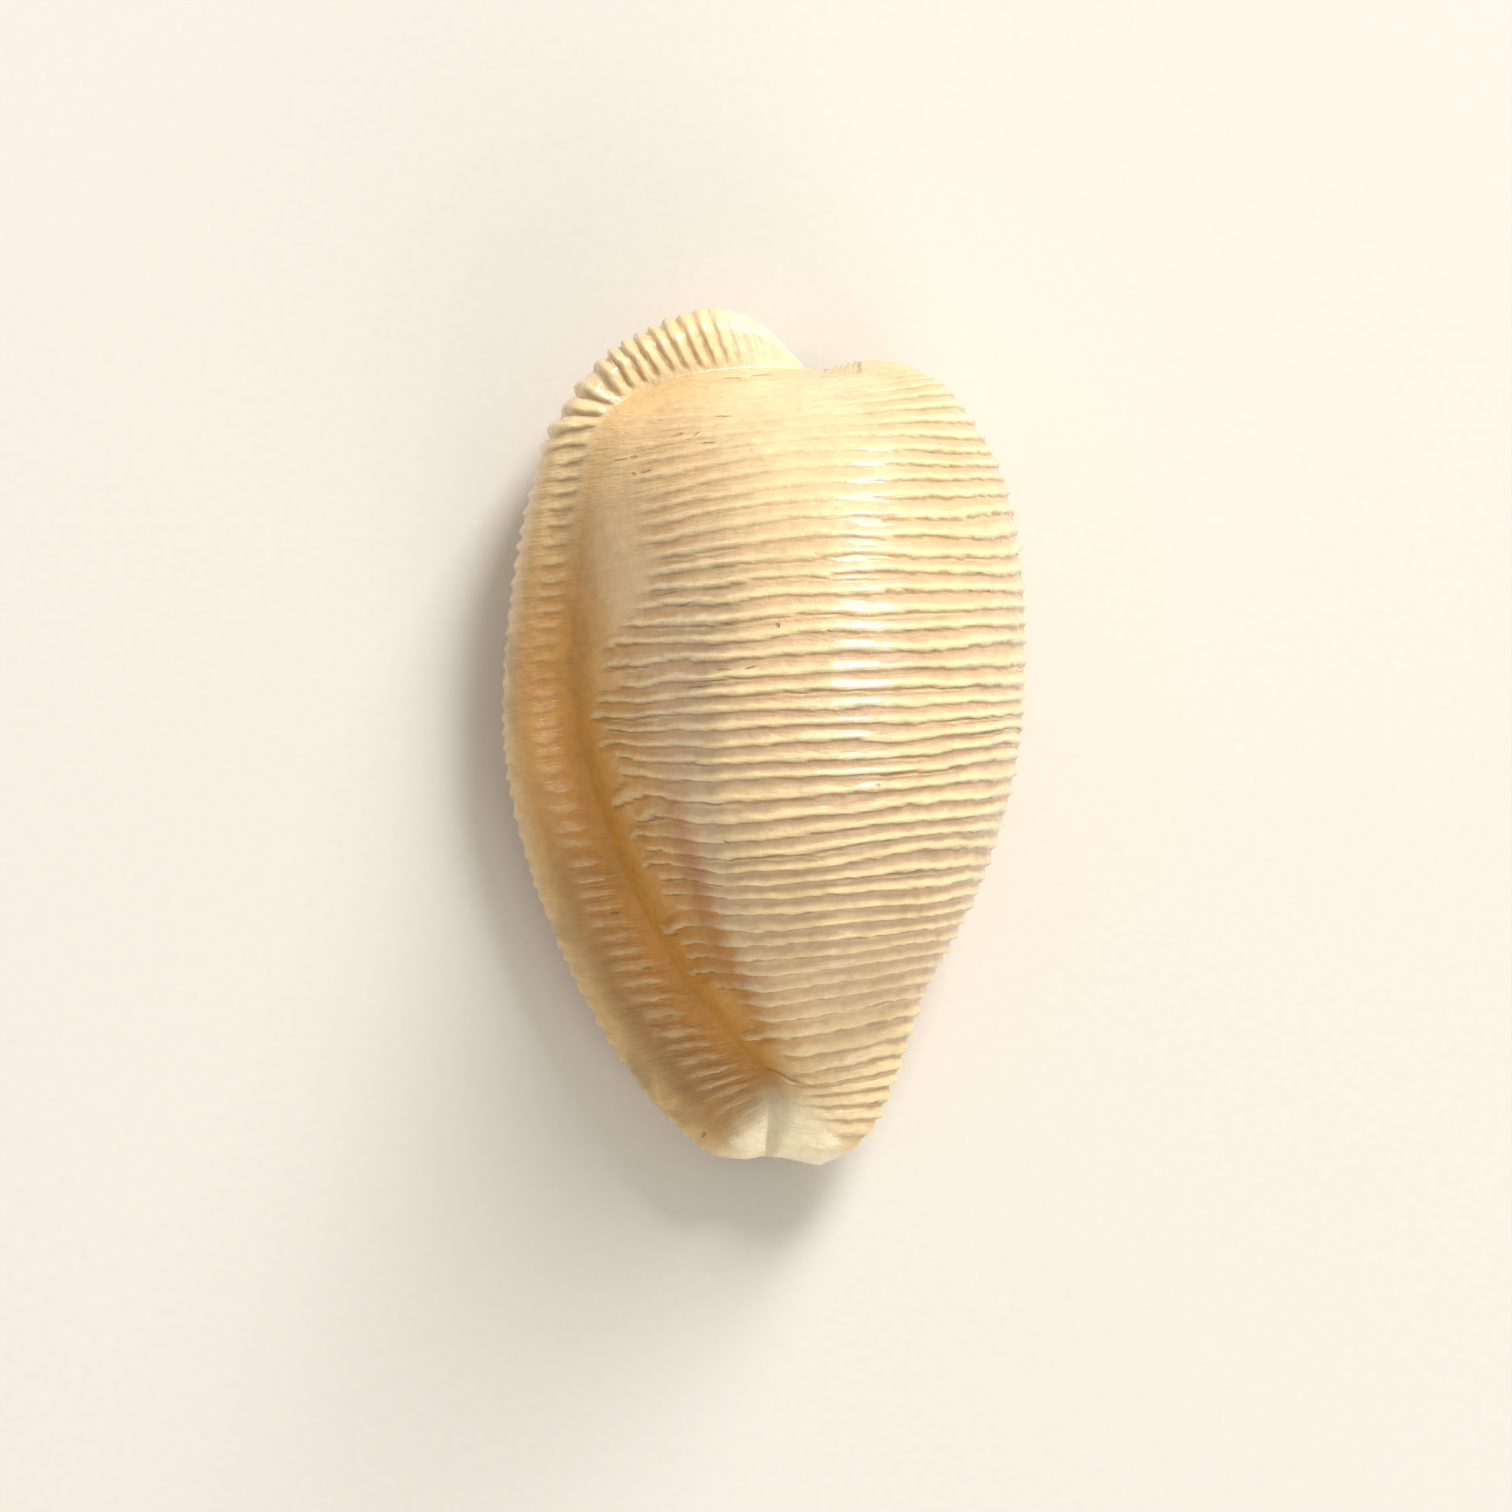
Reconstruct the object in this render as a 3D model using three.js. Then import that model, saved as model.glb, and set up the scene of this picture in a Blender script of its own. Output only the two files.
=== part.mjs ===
// Cape cowrie shell, 32 mm long: hollow, with a ribbed back, a rolled outer lip and a toothed aperture.
//
// The shell rests on its base with its back up. +Z is up, +Y points to the posterior end, where the spire
// is buried, and -X is the side of the outer lip. The origin is on the surface it rests on, under the
// middle. All sizes are in millimetres.
//
// The surface is drawn rib by rib. A rib is a curve that starts inside the aperture on the outer lip, goes
// round the lip's margin, over the back and under the base, and ends inside the aperture on the other side.
// The guides below say where each rib crosses the main lines of the shell. Ribs are numbered from the
// notch at the posterior end, and a guide's first column is a rib number.
import * as THREE from "three";

const LAST_RIB = 64;
const LAST_FLANGE_RIB = 17; // the coarse ribs that fan round the posterior end of the lip

// Seen from above: rib, x, y, and the height of the widest point.
const LIP_MARGIN = [
  [0, 1.23, 14.19, 2.9],
  [3, -0.22, 15.57, 3.5],
  [6, -1.94, 16.02, 3.9],
  [10, -4.25, 15.27, 4.0],
  [14, -6.26, 13.89, 3.9],
  [17, -7.9, 11.58, 3.7],
  [21, -8.75, 9.09, 3.4],
  [27, -9.46, 5.25, 3.1],
  [33, -9.76, 1.4, 3.0],
  [36, -9.72, -0.3, 3.0],
  [39, -9.46, -2.1, 3.0],
  [43, -8.78, -4.8, 3.0],
  [46, -8.2, -6.4, 3.1],
  [49, -7.45, -8.2, 3.1],
  [52, -6.55, -10.0, 3.2],
  [54, -5.75, -11.35, 3.3],
  [57, -4.5, -13.1, 3.4],
  [60, -3.05, -14.64, 3.4],
  [62, -1.94, -15.5, 3.3],
  [64, -0.75, -15.72, 2.9],
];
const RIGHT_MARGIN = [
  [0, 2.6, 13.8, 3.8],
  [3, 3.2, 13.93, 4.3],
  [7, 4.13, 14.14, 4.8],
  [10, 4.85, 14.03, 4.9],
  [14, 5.89, 13.63, 5.3],
  [17, 6.85, 12.98, 5.6],
  [21, 8.4, 10.85, 5.9],
  [25, 9.22, 8.45, 6.1],
  [28, 9.57, 6.3, 6.3],
  [33, 9.7, 3.0, 6.4],
  [36, 9.62, 1.05, 6.3],
  [39, 9.45, -0.6, 6.1],
  [42, 9.06, -2.45, 5.9],
  [46, 8.15, -5.2, 5.5],
  [49, 7.45, -6.75, 5.3],
  [52, 6.58, -8.35, 5.0],
  [54, 5.95, -9.6, 4.7],
  [56, 5.5, -10.85, 4.5],
  [58, 5.06, -12.15, 4.2],
  [60, 4.6, -13.35, 4.0],
  [62, 3.95, -14.65, 3.6],
  [63, 3.2, -15.4, 3.3],
  [64, 2.0, -15.97, 2.9],
];
// The valley between the rolled lip and the back: rib, x, y, height, how far the lip's crest rises above
// it, the share of the way to the top of the back over which its bank curves up, and how slowly it sets off.
const TROUGH = [
  [0, 1.5, 13.86, 4.0, 0.05, 0.4, 1.4],
  [3, 0.3, 13.8, 4.6, 0.1, 0.4, 1.4],
  [6, -1.1, 13.76, 5.0, 0.15, 0.5, 1.4],
  [10, -3.2, 13.45, 5.4, 0.15, 0.6, 1.3],
  [14, -5.03, 12.7, 5.6, 0.1, 0.8, 1.1],
  [17, -6.03, 11.73, 6.0, -0.3, 0.95, 0.9],
  [21, -6.6, 9.4, 6.3, -0.9, 1.0, 0.8],
  [27, -7.0, 5.55, 5.3, -0.5, 0.85, 0.95],
  [33, -7.34, 1.9, 4.3, 0.1, 0.7, 1.3],
  [36, -7.15, 0.2, 4.1, 0.2, 0.65, 1.4],
  [39, -6.67, -1.7, 4.0, 0.2, 0.65, 1.4],
  [43, -5.66, -4.4, 3.9, 0.2, 0.65, 1.4],
  [46, -4.92, -6.0, 3.9, 0.2, 0.7, 1.4],
  [49, -3.95, -7.7, 3.9, 0.2, 0.8, 1.4],
  [52, -2.83, -9.5, 3.9, 0.2, 0.9, 1.4],
  [54, -1.75, -10.8, 3.9, 0.15, 1.0, 1.4],
  [57, -0.55, -12.0, 4.0, 0.1, 1.0, 1.3],
  [60, 0.04, -13.1, 4.1, 0.05, 0.9, 1.2],
  [62, 0.15, -14.1, 4.0, 0.0, 0.8, 1.2],
  [64, 0.04, -15.6, 3.3, 0.0, 0.6, 1.2],
];
// The top of the back: rib, x, y. Its height comes from BACK_PROFILE.
const BACK_LINE = [
  [0, 1.95, 13.78],
  [5, 1.7, 13.64],
  [10, 1.5, 13.47],
  [14, 1.4, 13.2],
  [17, 1.34, 12.3],
  [20, 1.34, 11.1],
  [24, 1.34, 8.9],
  [28, 1.34, 6.15],
  [33, 1.34, 2.5],
  [39, 1.34, -1.45],
  [43, 1.34, -4.1],
  [46, 1.34, -5.8],
  [49, 1.34, -7.5],
  [52, 1.34, -9.15],
  [54, 1.34, -10.3],
  [56, 1.34, -11.6],
  [58, 1.4, -12.75],
  [60, 1.5, -13.6],
  [62, 1.4, -14.5],
  [64, 0.75, -15.67],
];
// Seen from the side: y and the height of the back, which flares out level at the anterior tip.
const BACK_PROFILE = [
  [-15.67, 3.7],
  [-15.3, 4.3],
  [-14.6, 4.6],
  [-13.6, 4.85],
  [-12.6, 5.4],
  [-11.7, 6.2],
  [-10.8, 7.5],
  [-9.5, 9.7],
  [-8.0, 11.9],
  [-4.8, 14.5],
  [-1.2, 15.7],
  [2.5, 15.9],
  [6.4, 15.1],
  [9.0, 13.7],
  [11.1, 11.6],
  [12.3, 9.6],
  [13.2, 7.2],
  [13.78, 4.5],
];
// The aperture's middle line and half its width: rib, x, y, half width.
const APERTURE = [
  [0, 1.85, 13.2, 0.5],
  [3, 1.5, 12.7, 0.55],
  [6, 1.0, 12.1, 0.6],
  [10, 0.2, 11.3, 0.6],
  [14, -0.75, 10.3, 0.6],
  [17, -1.6, 9.35, 0.6],
  [21, -2.5, 7.9, 0.6],
  [27, -3.5, 5.0, 0.62],
  [33, -4.15, 1.6, 0.66],
  [39, -4.3, -1.8, 0.7],
  [46, -3.8, -6.0, 0.8],
  [54, -2.4, -10.8, 0.95],
  [60, -1.0, -13.8, 0.9],
  [62, -0.55, -14.45, 0.85],
  [64, -0.05, -15.0, 0.7],
];
// The base curves up a little towards both ends: y and height. Below 0 it is worn flat.
const BASE_PROFILE = [
  [-15.2, 1.5],
  [-13, 0.75],
  [-10.5, 0.2],
  [-8, 0],
  [-4, -0.12],
  [3, -0.12],
  [7, 0],
  [10, 0.25],
  [12, 0.75],
  [13.4, 1.4],
];

const ROLL_CREST = 0.38; // where the rolled lip's crest lies, from the margin (0) to the trough (1)
const LEFT_SQUARENESS = 2.3; // 2 is an ellipse, and more is fuller at the shoulder
const RIGHT_SQUARENESS = 2.15;
const LIP_FLAT = 0.45; // share of the lip's underside that is flat
const FLAT_SHARE = 0.4; // share of the underside's vertices that lie on the flat
const BASE_FLAT = 0.4; // share of the base's width that is flat, beside the aperture
const EDGE_ROUND = 0.5; // radius of the aperture's edges
const EDGE_SHARE = 0.3; // the same at most, as a share of the width beside the aperture
const LIP_DEPTH = 1.7; // how deep the toothed walls of the aperture are
const END_DEPTH = 1.1; // the same at the two notches
const WALL = 1.25; // thickness of the back's wall
const END_WALL = 0.85; // the same at the two notches
const END_RIBS = 5; // the wall thins over this many ribs at each end
const END_INSET = 1.2; // the hollow is drawn in lengthwise by this at the ends
const INSET_RIBS = [4, 16]; // the ribs, from each end, over which it gets back to its full length
const LIP_BEVEL = 0.35; // the inner edge of the toothed walls is set back by this
const HOLLOW_SHOULDER = 0.8; // height of the hollow's left edge, from the walls (0) to the trough (1)
const HOLLOW_BANK = 1.3; // above 1 the hollow's left side is less full than an ellipse
const HOLLOW_FLOOR = 0.3; // width of the hollow's floor, from the aperture (0) to the right (1)

const BACK_RIB = 0.15; // heights of the ribs, from valley to crest
const MARGIN_RIB = 0.15;
const FLANGE_RIB = 0.26;
const BASE_RIB = 0.12;
const TOOTH = 0.34;
const WORN = 0.25; // share of their height that the ribs of the upper back keep
const WORN_RIBS = [22, 32]; // the ribs over which they get back to full height

const STEP = 1e-3; // for the aperture's direction, in ribs
const FACING_RIBS = 0.2; // the surface's direction is taken over this many ribs to each side
const FACING_SHARE = 0.02; // and over this share of a stretch

const plan = (x, y) => new THREE.Vector2(x, y);
const raise = (point, z) => new THREE.Vector3(point.x, point.y, z);
const mix = THREE.MathUtils.lerp;
const quarter = (t) => (t * Math.PI) / 2;

// A smooth curve through knots of [place, value, value, ...], read at any place.
function smoothCurve(knots) {
  const slopes = knots.map((knot, i) => {
    const before = knots[Math.max(i - 1, 0)];
    const after = knots[Math.min(i + 1, knots.length - 1)];
    return knot.map((value, k) => {
      const low = knot === before ? null : (value - before[k]) / (knot[0] - before[0]);
      const high = knot === after ? null : (after[k] - value) / (after[0] - knot[0]);
      if (low === null || high === null) return low ?? high;
      const width = after[0] - before[0];
      return (low * (after[0] - knot[0]) + high * (knot[0] - before[0])) / width;
    });
  });
  return (place) => {
    let i = 0;
    while (i < knots.length - 2 && place > knots[i + 1][0]) i += 1;
    const [from, to] = [knots[i], knots[i + 1]];
    const span = to[0] - from[0];
    const t = THREE.MathUtils.clamp((place - from[0]) / span, 0, 1);
    const rise = t * t * (3 - 2 * t);
    const leave = t * (1 - t) * (1 - t) * span;
    const arrive = t * t * (t - 1) * span;
    return from
      .map((value, k) => mix(value, to[k], rise) + slopes[i][k] * leave + slopes[i + 1][k] * arrive)
      .slice(1);
  };
}

const lipMargin = smoothCurve(LIP_MARGIN);
const rightMargin = smoothCurve(RIGHT_MARGIN);
const trough = smoothCurve(TROUGH);
const backLine = smoothCurve(BACK_LINE);
const backProfile = smoothCurve(BACK_PROFILE);
const aperture = smoothCurve(APERTURE);
const baseProfile = smoothCurve(BASE_PROFILE);

// 1 along the shell, falling to 0 at both notches.
function awayFromEnds(rib) {
  return THREE.MathUtils.smoothstep(Math.min(rib, LAST_RIB - rib), 0, END_RIBS);
}

// Everything that one rib's curve is drawn from.
function station(rib) {
  const [lipX, lipY, lipZ] = lipMargin(rib);
  const [rightX, rightY, rightZ] = rightMargin(rib);
  const [troughX, troughY, troughZ, rollRise, bank, softness] = trough(rib);
  const [backX, backY] = backLine(rib);
  const [slitX, slitY, halfWidth] = aperture(rib);
  const ahead = aperture(Math.min(rib + STEP, LAST_RIB));
  const behind = aperture(Math.max(rib - STEP, 0));
  const along = plan(ahead[0] - behind[0], ahead[1] - behind[1]).normalize();
  const across = plan(-along.y, along.x);
  const slit = plan(slitX, slitY);
  const lip = plan(lipX, lipY);
  const right = plan(rightX, rightY);
  const edgeRound = (side) => Math.min(EDGE_ROUND, EDGE_SHARE * (side.distanceTo(slit) - halfWidth));
  const lipRound = edgeRound(lip);
  const baseRound = edgeRound(right);
  return {
    lip, lipZ, right, rightZ, troughZ, rollRise, bank, softness, slit, across, halfWidth,
    lipRound, baseRound,
    trough: plan(troughX, troughY),
    back: plan(backX, backY),
    backZ: backProfile(backY)[0],
    lipEdge: slit.clone().addScaledVector(across, -halfWidth - lipRound),
    baseEdge: slit.clone().addScaledVector(across, halfWidth + baseRound),
    baseZ: baseProfile(slitY)[0],
    depth: mix(END_DEPTH, LIP_DEPTH, awayFromEnds(rib)),
    wall: mix(END_WALL, WALL, awayFromEnds(rib)),
  };
}

// A wall of the aperture: up to the middle it is straight, then it rounds out to the underside.
function apertureWall(s, side, round, t) {
  if (t < 0.5) {
    const z = mix(s.baseZ + s.depth, s.baseZ + round, t * 2);
    return raise(s.slit.clone().addScaledVector(s.across, side * s.halfWidth), z);
  }
  const turn = quarter(t * 2 - 1);
  const reach = s.halfWidth + round * (1 - Math.cos(turn));
  const z = s.baseZ + round * (1 - Math.sin(turn));
  return raise(s.slit.clone().addScaledVector(s.across, side * reach), z);
}

function lipUnderside(s, t) {
  const flatEnd = s.lipEdge.clone().lerp(s.lip, LIP_FLAT);
  if (t < FLAT_SHARE) return raise(s.lipEdge.clone().lerp(flatEnd, t / FLAT_SHARE), s.baseZ);
  const turn = quarter((t - FLAT_SHARE) / (1 - FLAT_SHARE));
  return raise(flatEnd.lerp(s.lip, Math.sin(turn)), mix(s.lipZ, s.baseZ, Math.cos(turn)));
}

function lipRoll(s, t) {
  const turn = quarter(t);
  const reach = ROLL_CREST * (1 - Math.cos(turn));
  return raise(s.lip.clone().lerp(s.trough, reach), mix(s.lipZ, s.troughZ + s.rollRise, Math.sin(turn)));
}

// Down from the rolled lip's crest into the trough, or up to it where there is no valley.
function rollToTrough(s, t) {
  const share = s.rollRise > 0 ? 0.5 + 0.5 * Math.cos(t * Math.PI) : Math.cos(quarter(t));
  const z = s.troughZ + s.rollRise * share;
  return raise(s.lip.clone().lerp(s.trough, mix(ROLL_CREST, 1, t)), z);
}

// The way a rib takes from one plan point to the next, with its headings where it sets off and arrives.
function planPath(from, to, share, startHeading, endHeading) {
  const length = from.distanceTo(to);
  const rise = share * share * (3 - 2 * share);
  const leave = share * (1 - share) * (1 - share) * length;
  const arrive = share * share * (share - 1) * length;
  const path = from.clone().lerp(to, rise);
  return path.addScaledVector(startHeading, leave).addScaledVector(endHeading, arrive);
}

function backLeft(s, t) {
  const power = 2 / LEFT_SQUARENESS;
  const turn = quarter(t);
  const share = 1 - Math.cos(turn) ** power;
  const over = s.right.clone().sub(s.trough).normalize();
  const start = s.back.clone().sub(s.trough).normalize();
  const below = Math.max(1 - share / s.bank, 0);
  const rise = Math.sin(turn) ** power * (1 - below * below) ** s.softness;
  return raise(planPath(s.trough, s.back, share, start, over), mix(s.troughZ, s.backZ, rise));
}

function backRight(s, t) {
  const power = 2 / RIGHT_SQUARENESS;
  const share = Math.sin(quarter(t)) ** power;
  const over = s.right.clone().sub(s.trough).normalize();
  const end = s.right.clone().sub(s.back).normalize();
  const height = Math.max(Math.cos(quarter(t)), 0) ** power;
  return raise(planPath(s.back, s.right, share, over, end), mix(s.rightZ, s.backZ, height));
}

function underBase(s, t) {
  const flatEnd = s.baseEdge.clone().lerp(s.right, BASE_FLAT);
  const turn = quarter(t);
  return raise(s.right.clone().lerp(flatEnd, 1 - Math.cos(turn)), mix(s.rightZ, s.baseZ, Math.sin(turn)));
}

function baseFlat(s, t) {
  return raise(s.right.clone().lerp(s.baseEdge, mix(1 - BASE_FLAT, 1, t)), s.baseZ);
}

// The stretches of a rib's curve in order. `faces` is how many facets each gets, and `rib` how high the rib
// stands at its start and end.
const STRETCHES = [
  { faces: 2, at: (s, t) => apertureWall(s, -1, s.lipRound, t), rib: [TOOTH, TOOTH] },
  { faces: 4, at: lipUnderside, rib: [TOOTH / 2, MARGIN_RIB] },
  { faces: 2, at: lipRoll, rib: [MARGIN_RIB, MARGIN_RIB] },
  { faces: 2, at: rollToTrough, rib: [MARGIN_RIB, 0] },
  { faces: 8, at: backLeft, rib: [0, BACK_RIB] },
  { faces: 6, at: backRight, rib: [BACK_RIB, BACK_RIB] },
  { faces: 4, at: underBase, rib: [BACK_RIB, BASE_RIB] },
  { faces: 2, at: baseFlat, rib: [BASE_RIB, TOOTH / 2] },
  { faces: 2, at: (s, t) => apertureWall(s, 1, s.baseRound, 1 - t), rib: [TOOTH, TOOTH] },
];
const LIP_STRETCHES = 4;

// Every place along a rib's curve that gets a vertex, as a stretch and how far along it.
const columns = STRETCHES.flatMap((stretch, k) => {
  const count = stretch.faces + (k === STRETCHES.length - 1 ? 1 : 0);
  return Array.from({ length: count }, (_, i) => ({ stretch, k, t: i / stretch.faces }));
});

const surfacePoint = (rib, column) => column.stretch.at(station(rib), column.t);

// The direction that the smooth surface faces at a vertex.
function facing(rib, column) {
  const ribs = [Math.max(rib - FACING_RIBS, 0), Math.min(rib + FACING_RIBS, LAST_RIB)];
  const places = [Math.max(column.t - FACING_SHARE, 0), Math.min(column.t + FACING_SHARE, 1)];
  const [behind, ahead] = ribs.map((r) => surfacePoint(r, column));
  const [before, after] = places.map((t) => surfacePoint(rib, { ...column, t }));
  return ahead.sub(behind).cross(after.sub(before)).normalize();
}

// How high the rib stands at a vertex. The ribs fade towards the notches and are worn on the upper back.
// Round the posterior end only those of the lip are raised, but coarser.
function ribHeight(rib, column) {
  const flange = 1 - THREE.MathUtils.smoothstep(rib, LAST_FLANGE_RIB - 1, LAST_FLANGE_RIB + 3);
  const height = mix(...column.stretch.rib, column.t) * awayFromEnds(rib);
  if (column.k === 0 || column.k === STRETCHES.length - 1) return height;
  if (column.k >= LIP_STRETCHES) {
    const onBack = Math.max(1 - Math.max(column.k + column.t - LIP_STRETCHES - 1, 0), 0);
    const worn = onBack * (1 - THREE.MathUtils.smoothstep(rib, ...WORN_RIBS));
    return height * (1 - flange) * mix(1, WORN, worn);
  }
  const coarse = column.k === 1 ? column.t : 1;
  return height * mix(1, FLANGE_RIB / MARGIN_RIB, flange * coarse);
}

function outerVertex(row, column) {
  const rib = row / 2;
  const point = surfacePoint(rib, column);
  const side = row % 2 ? -0.5 : 0.5;
  const height = ribHeight(rib, column);
  if (height === 0) return point;
  point.addScaledVector(facing(rib, column), side * height);
  point.z = Math.max(point.z, 0);
  return point;
}

// The hollow inside: the same guides drawn in by the thickness of the wall, and lengthwise at the ends.
function hollowPoint(rib, place) {
  const s = station(rib);
  const over = s.right.clone().sub(s.trough).normalize();
  const fromEnd = Math.min(rib, LAST_RIB - rib);
  const inset = END_INSET * (1 - THREE.MathUtils.smoothstep(fromEnd, ...INSET_RIBS));
  const inward = plan(0, Math.sign(rib - LAST_RIB / 2) * inset);
  const edgeZ = s.baseZ + s.depth + LIP_BEVEL;
  const left = s.trough.clone().addScaledVector(over, s.wall).add(inward);
  const right = s.right.clone().addScaledVector(over, -s.wall).add(inward);
  const top = s.back.clone().add(inward);
  const topZ = s.backZ - s.wall;
  const leftZ = mix(edgeZ, s.troughZ - s.wall, HOLLOW_SHOULDER);
  const bottomZ = s.baseZ + s.wall;
  const edge = (side) => s.slit.clone().addScaledVector(s.across, side * (s.halfWidth + LIP_BEVEL));
  const stretch = Math.min(Math.floor(place), 4);
  const turn = quarter(place - stretch);
  const [sin, cos] = [Math.sin(turn), Math.cos(turn)];
  if (stretch === 0) return raise(edge(-1).lerp(left, sin), mix(leftZ, edgeZ, cos));
  if (stretch === 1) return raise(left.lerp(top, 1 - cos), mix(leftZ, topZ, sin ** HOLLOW_BANK));
  if (stretch === 2) return raise(top.lerp(right, sin), mix(s.rightZ, topZ, cos));
  const low = edge(1).lerp(right, HOLLOW_FLOOR);
  if (stretch === 3) return raise(right.lerp(low, 1 - cos), mix(s.rightZ, bottomZ, sin));
  return raise(low.lerp(edge(1), sin), mix(edgeZ, bottomZ, cos));
}

const HOLLOW_ROWS = 22;
const HOLLOW_INSET = 1.5; // the hollow starts and ends this many ribs in from the notches
const HOLLOW_FACES = [2, 5, 5, 5, 2];
const hollowPlaces = HOLLOW_FACES.flatMap((faces, k) =>
  Array.from({ length: faces + (k === HOLLOW_FACES.length - 1 ? 1 : 0) }, (_, i) => k + i / faces),
);

// Adds a vertex for every cell and gives back their numbers, row by row.
function addGrid(mesh, rows, vertexAt) {
  return rows.map((row) => row.map((cell) => mesh.points.push(vertexAt(cell)) - 1));
}

// Two triangles to each cell. They face up where the rows run towards -Y and the columns towards +X.
function fillGrid(mesh, grid) {
  for (let j = 0; j < grid.length - 1; j += 1) {
    for (let i = 0; i < grid[j].length - 1; i += 1) {
      const [a, b, c, d] = [grid[j][i], grid[j][i + 1], grid[j + 1][i + 1], grid[j + 1][i]];
      mesh.faces.push(...((i + j) % 2 ? [a, c, b, a, d, c] : [a, d, b, b, d, c]));
    }
  }
}

// Joins two edges of unlike counts with a strip of triangles, walking both from end to end.
function zip(mesh, near, far) {
  let [i, j] = [0, 0];
  while (i < near.length - 1 || j < far.length - 1) {
    const nearNext = (i + 1) / (near.length - 1);
    const farNext = (j + 1) / (far.length - 1);
    if (j === far.length - 1 || (i < near.length - 1 && nearNext <= farNext)) {
      mesh.faces.push(near[i], near[i + 1], far[j]);
      i += 1;
    } else {
      mesh.faces.push(near[i], far[j + 1], far[j]);
      j += 1;
    }
  }
}

function shellGeometry() {
  const mesh = { points: [], faces: [] };
  const rows = Array.from({ length: 2 * LAST_RIB + 1 }, (_, row) => columns.map((column) => [row, column]));
  const outer = addGrid(mesh, rows, ([row, column]) => outerVertex(row, column));
  const hollowRows = Array.from({ length: HOLLOW_ROWS + 1 }, (_, row) => {
    const rib = mix(HOLLOW_INSET, LAST_RIB - HOLLOW_INSET, row / HOLLOW_ROWS);
    return hollowPlaces.map((place) => [rib, place]);
  });
  const hollow = addGrid(mesh, hollowRows, ([rib, place]) => hollowPoint(rib, place));
  fillGrid(mesh, outer);
  fillGrid(mesh, hollow.map((row) => row.toReversed()));
  const lastColumn = (grid) => grid.map((row) => row[row.length - 1]);
  const firstColumn = (grid) => grid.map((row) => row[0]);
  zip(mesh, outer[0], hollow[0]);
  zip(mesh, outer[outer.length - 1].toReversed(), hollow[hollow.length - 1].toReversed());
  zip(mesh, firstColumn(outer).toReversed(), firstColumn(hollow).toReversed());
  zip(mesh, lastColumn(outer), lastColumn(hollow));
  const geometry = new THREE.BufferGeometry().setFromPoints(mesh.points);
  geometry.setIndex(mesh.faces);
  geometry.computeVertexNormals();
  return geometry;
}

const shellMaterial = new THREE.MeshStandardMaterial({ color: 0xe9d3a4, roughness: 0.42, metalness: 0 });
const shell = new THREE.Mesh(shellGeometry(), shellMaterial);
shell.name = "shell";

const cowrie = new THREE.Group();
cowrie.add(shell);

export default cowrie;
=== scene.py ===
import math
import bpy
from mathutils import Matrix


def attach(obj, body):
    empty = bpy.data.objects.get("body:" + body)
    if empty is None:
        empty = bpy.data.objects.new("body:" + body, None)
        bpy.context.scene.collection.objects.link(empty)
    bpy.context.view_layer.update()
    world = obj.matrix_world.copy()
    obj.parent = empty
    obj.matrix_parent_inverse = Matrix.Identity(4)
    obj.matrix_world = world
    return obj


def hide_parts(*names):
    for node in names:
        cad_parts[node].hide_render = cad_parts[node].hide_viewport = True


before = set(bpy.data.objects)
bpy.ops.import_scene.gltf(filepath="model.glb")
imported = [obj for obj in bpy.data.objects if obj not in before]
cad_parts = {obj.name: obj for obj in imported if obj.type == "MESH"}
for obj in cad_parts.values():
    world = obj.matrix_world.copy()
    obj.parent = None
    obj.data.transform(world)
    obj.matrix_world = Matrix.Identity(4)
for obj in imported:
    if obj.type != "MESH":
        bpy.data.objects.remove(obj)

from types import SimpleNamespace

import bpy
import numpy as np
from mathutils import Vector

bl_info = {
    "name": "Cape cowrie shell",
    "version": (1, 0, 0),
    "blender": (4, 5, 0),
    "location": "3D View > Sidebar > Cowrie",
    "description": "A ribbed cowrie shell on a pale floor, seen from straight above",
    "category": "Object",
}

# The shell lies as the CAD model does: +Z up, +Y towards the posterior end, -X the side of the outer lip.
# Guides and sizes are in millimetres, and MM turns them to metres.
MM = 0.001
LAST_RIB = 64
LAST_FLANGE_RIB = 17

# The surface is drawn rib by rib, and the guides say where each rib crosses the main lines of the shell.
# Seen from above: rib, x, y, and the height of the widest point.
LIP_MARGIN = [
    (0, 1.23, 14.19, 2.9),
    (3, -0.22, 15.57, 3.5),
    (6, -1.94, 16.02, 3.9),
    (10, -4.25, 15.27, 4.0),
    (14, -6.26, 13.89, 3.9),
    (17, -7.9, 11.58, 3.7),
    (21, -8.75, 9.09, 3.4),
    (27, -9.46, 5.25, 3.1),
    (33, -9.76, 1.4, 3.0),
    (36, -9.72, -0.3, 3.0),
    (39, -9.46, -2.1, 3.0),
    (43, -8.78, -4.8, 3.0),
    (46, -8.2, -6.4, 3.1),
    (49, -7.45, -8.2, 3.1),
    (52, -6.55, -10.0, 3.2),
    (54, -5.75, -11.35, 3.3),
    (57, -4.5, -13.1, 3.4),
    (60, -3.05, -14.64, 3.4),
    (62, -1.94, -15.5, 3.3),
    (64, -0.75, -15.72, 2.9),
]
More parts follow.
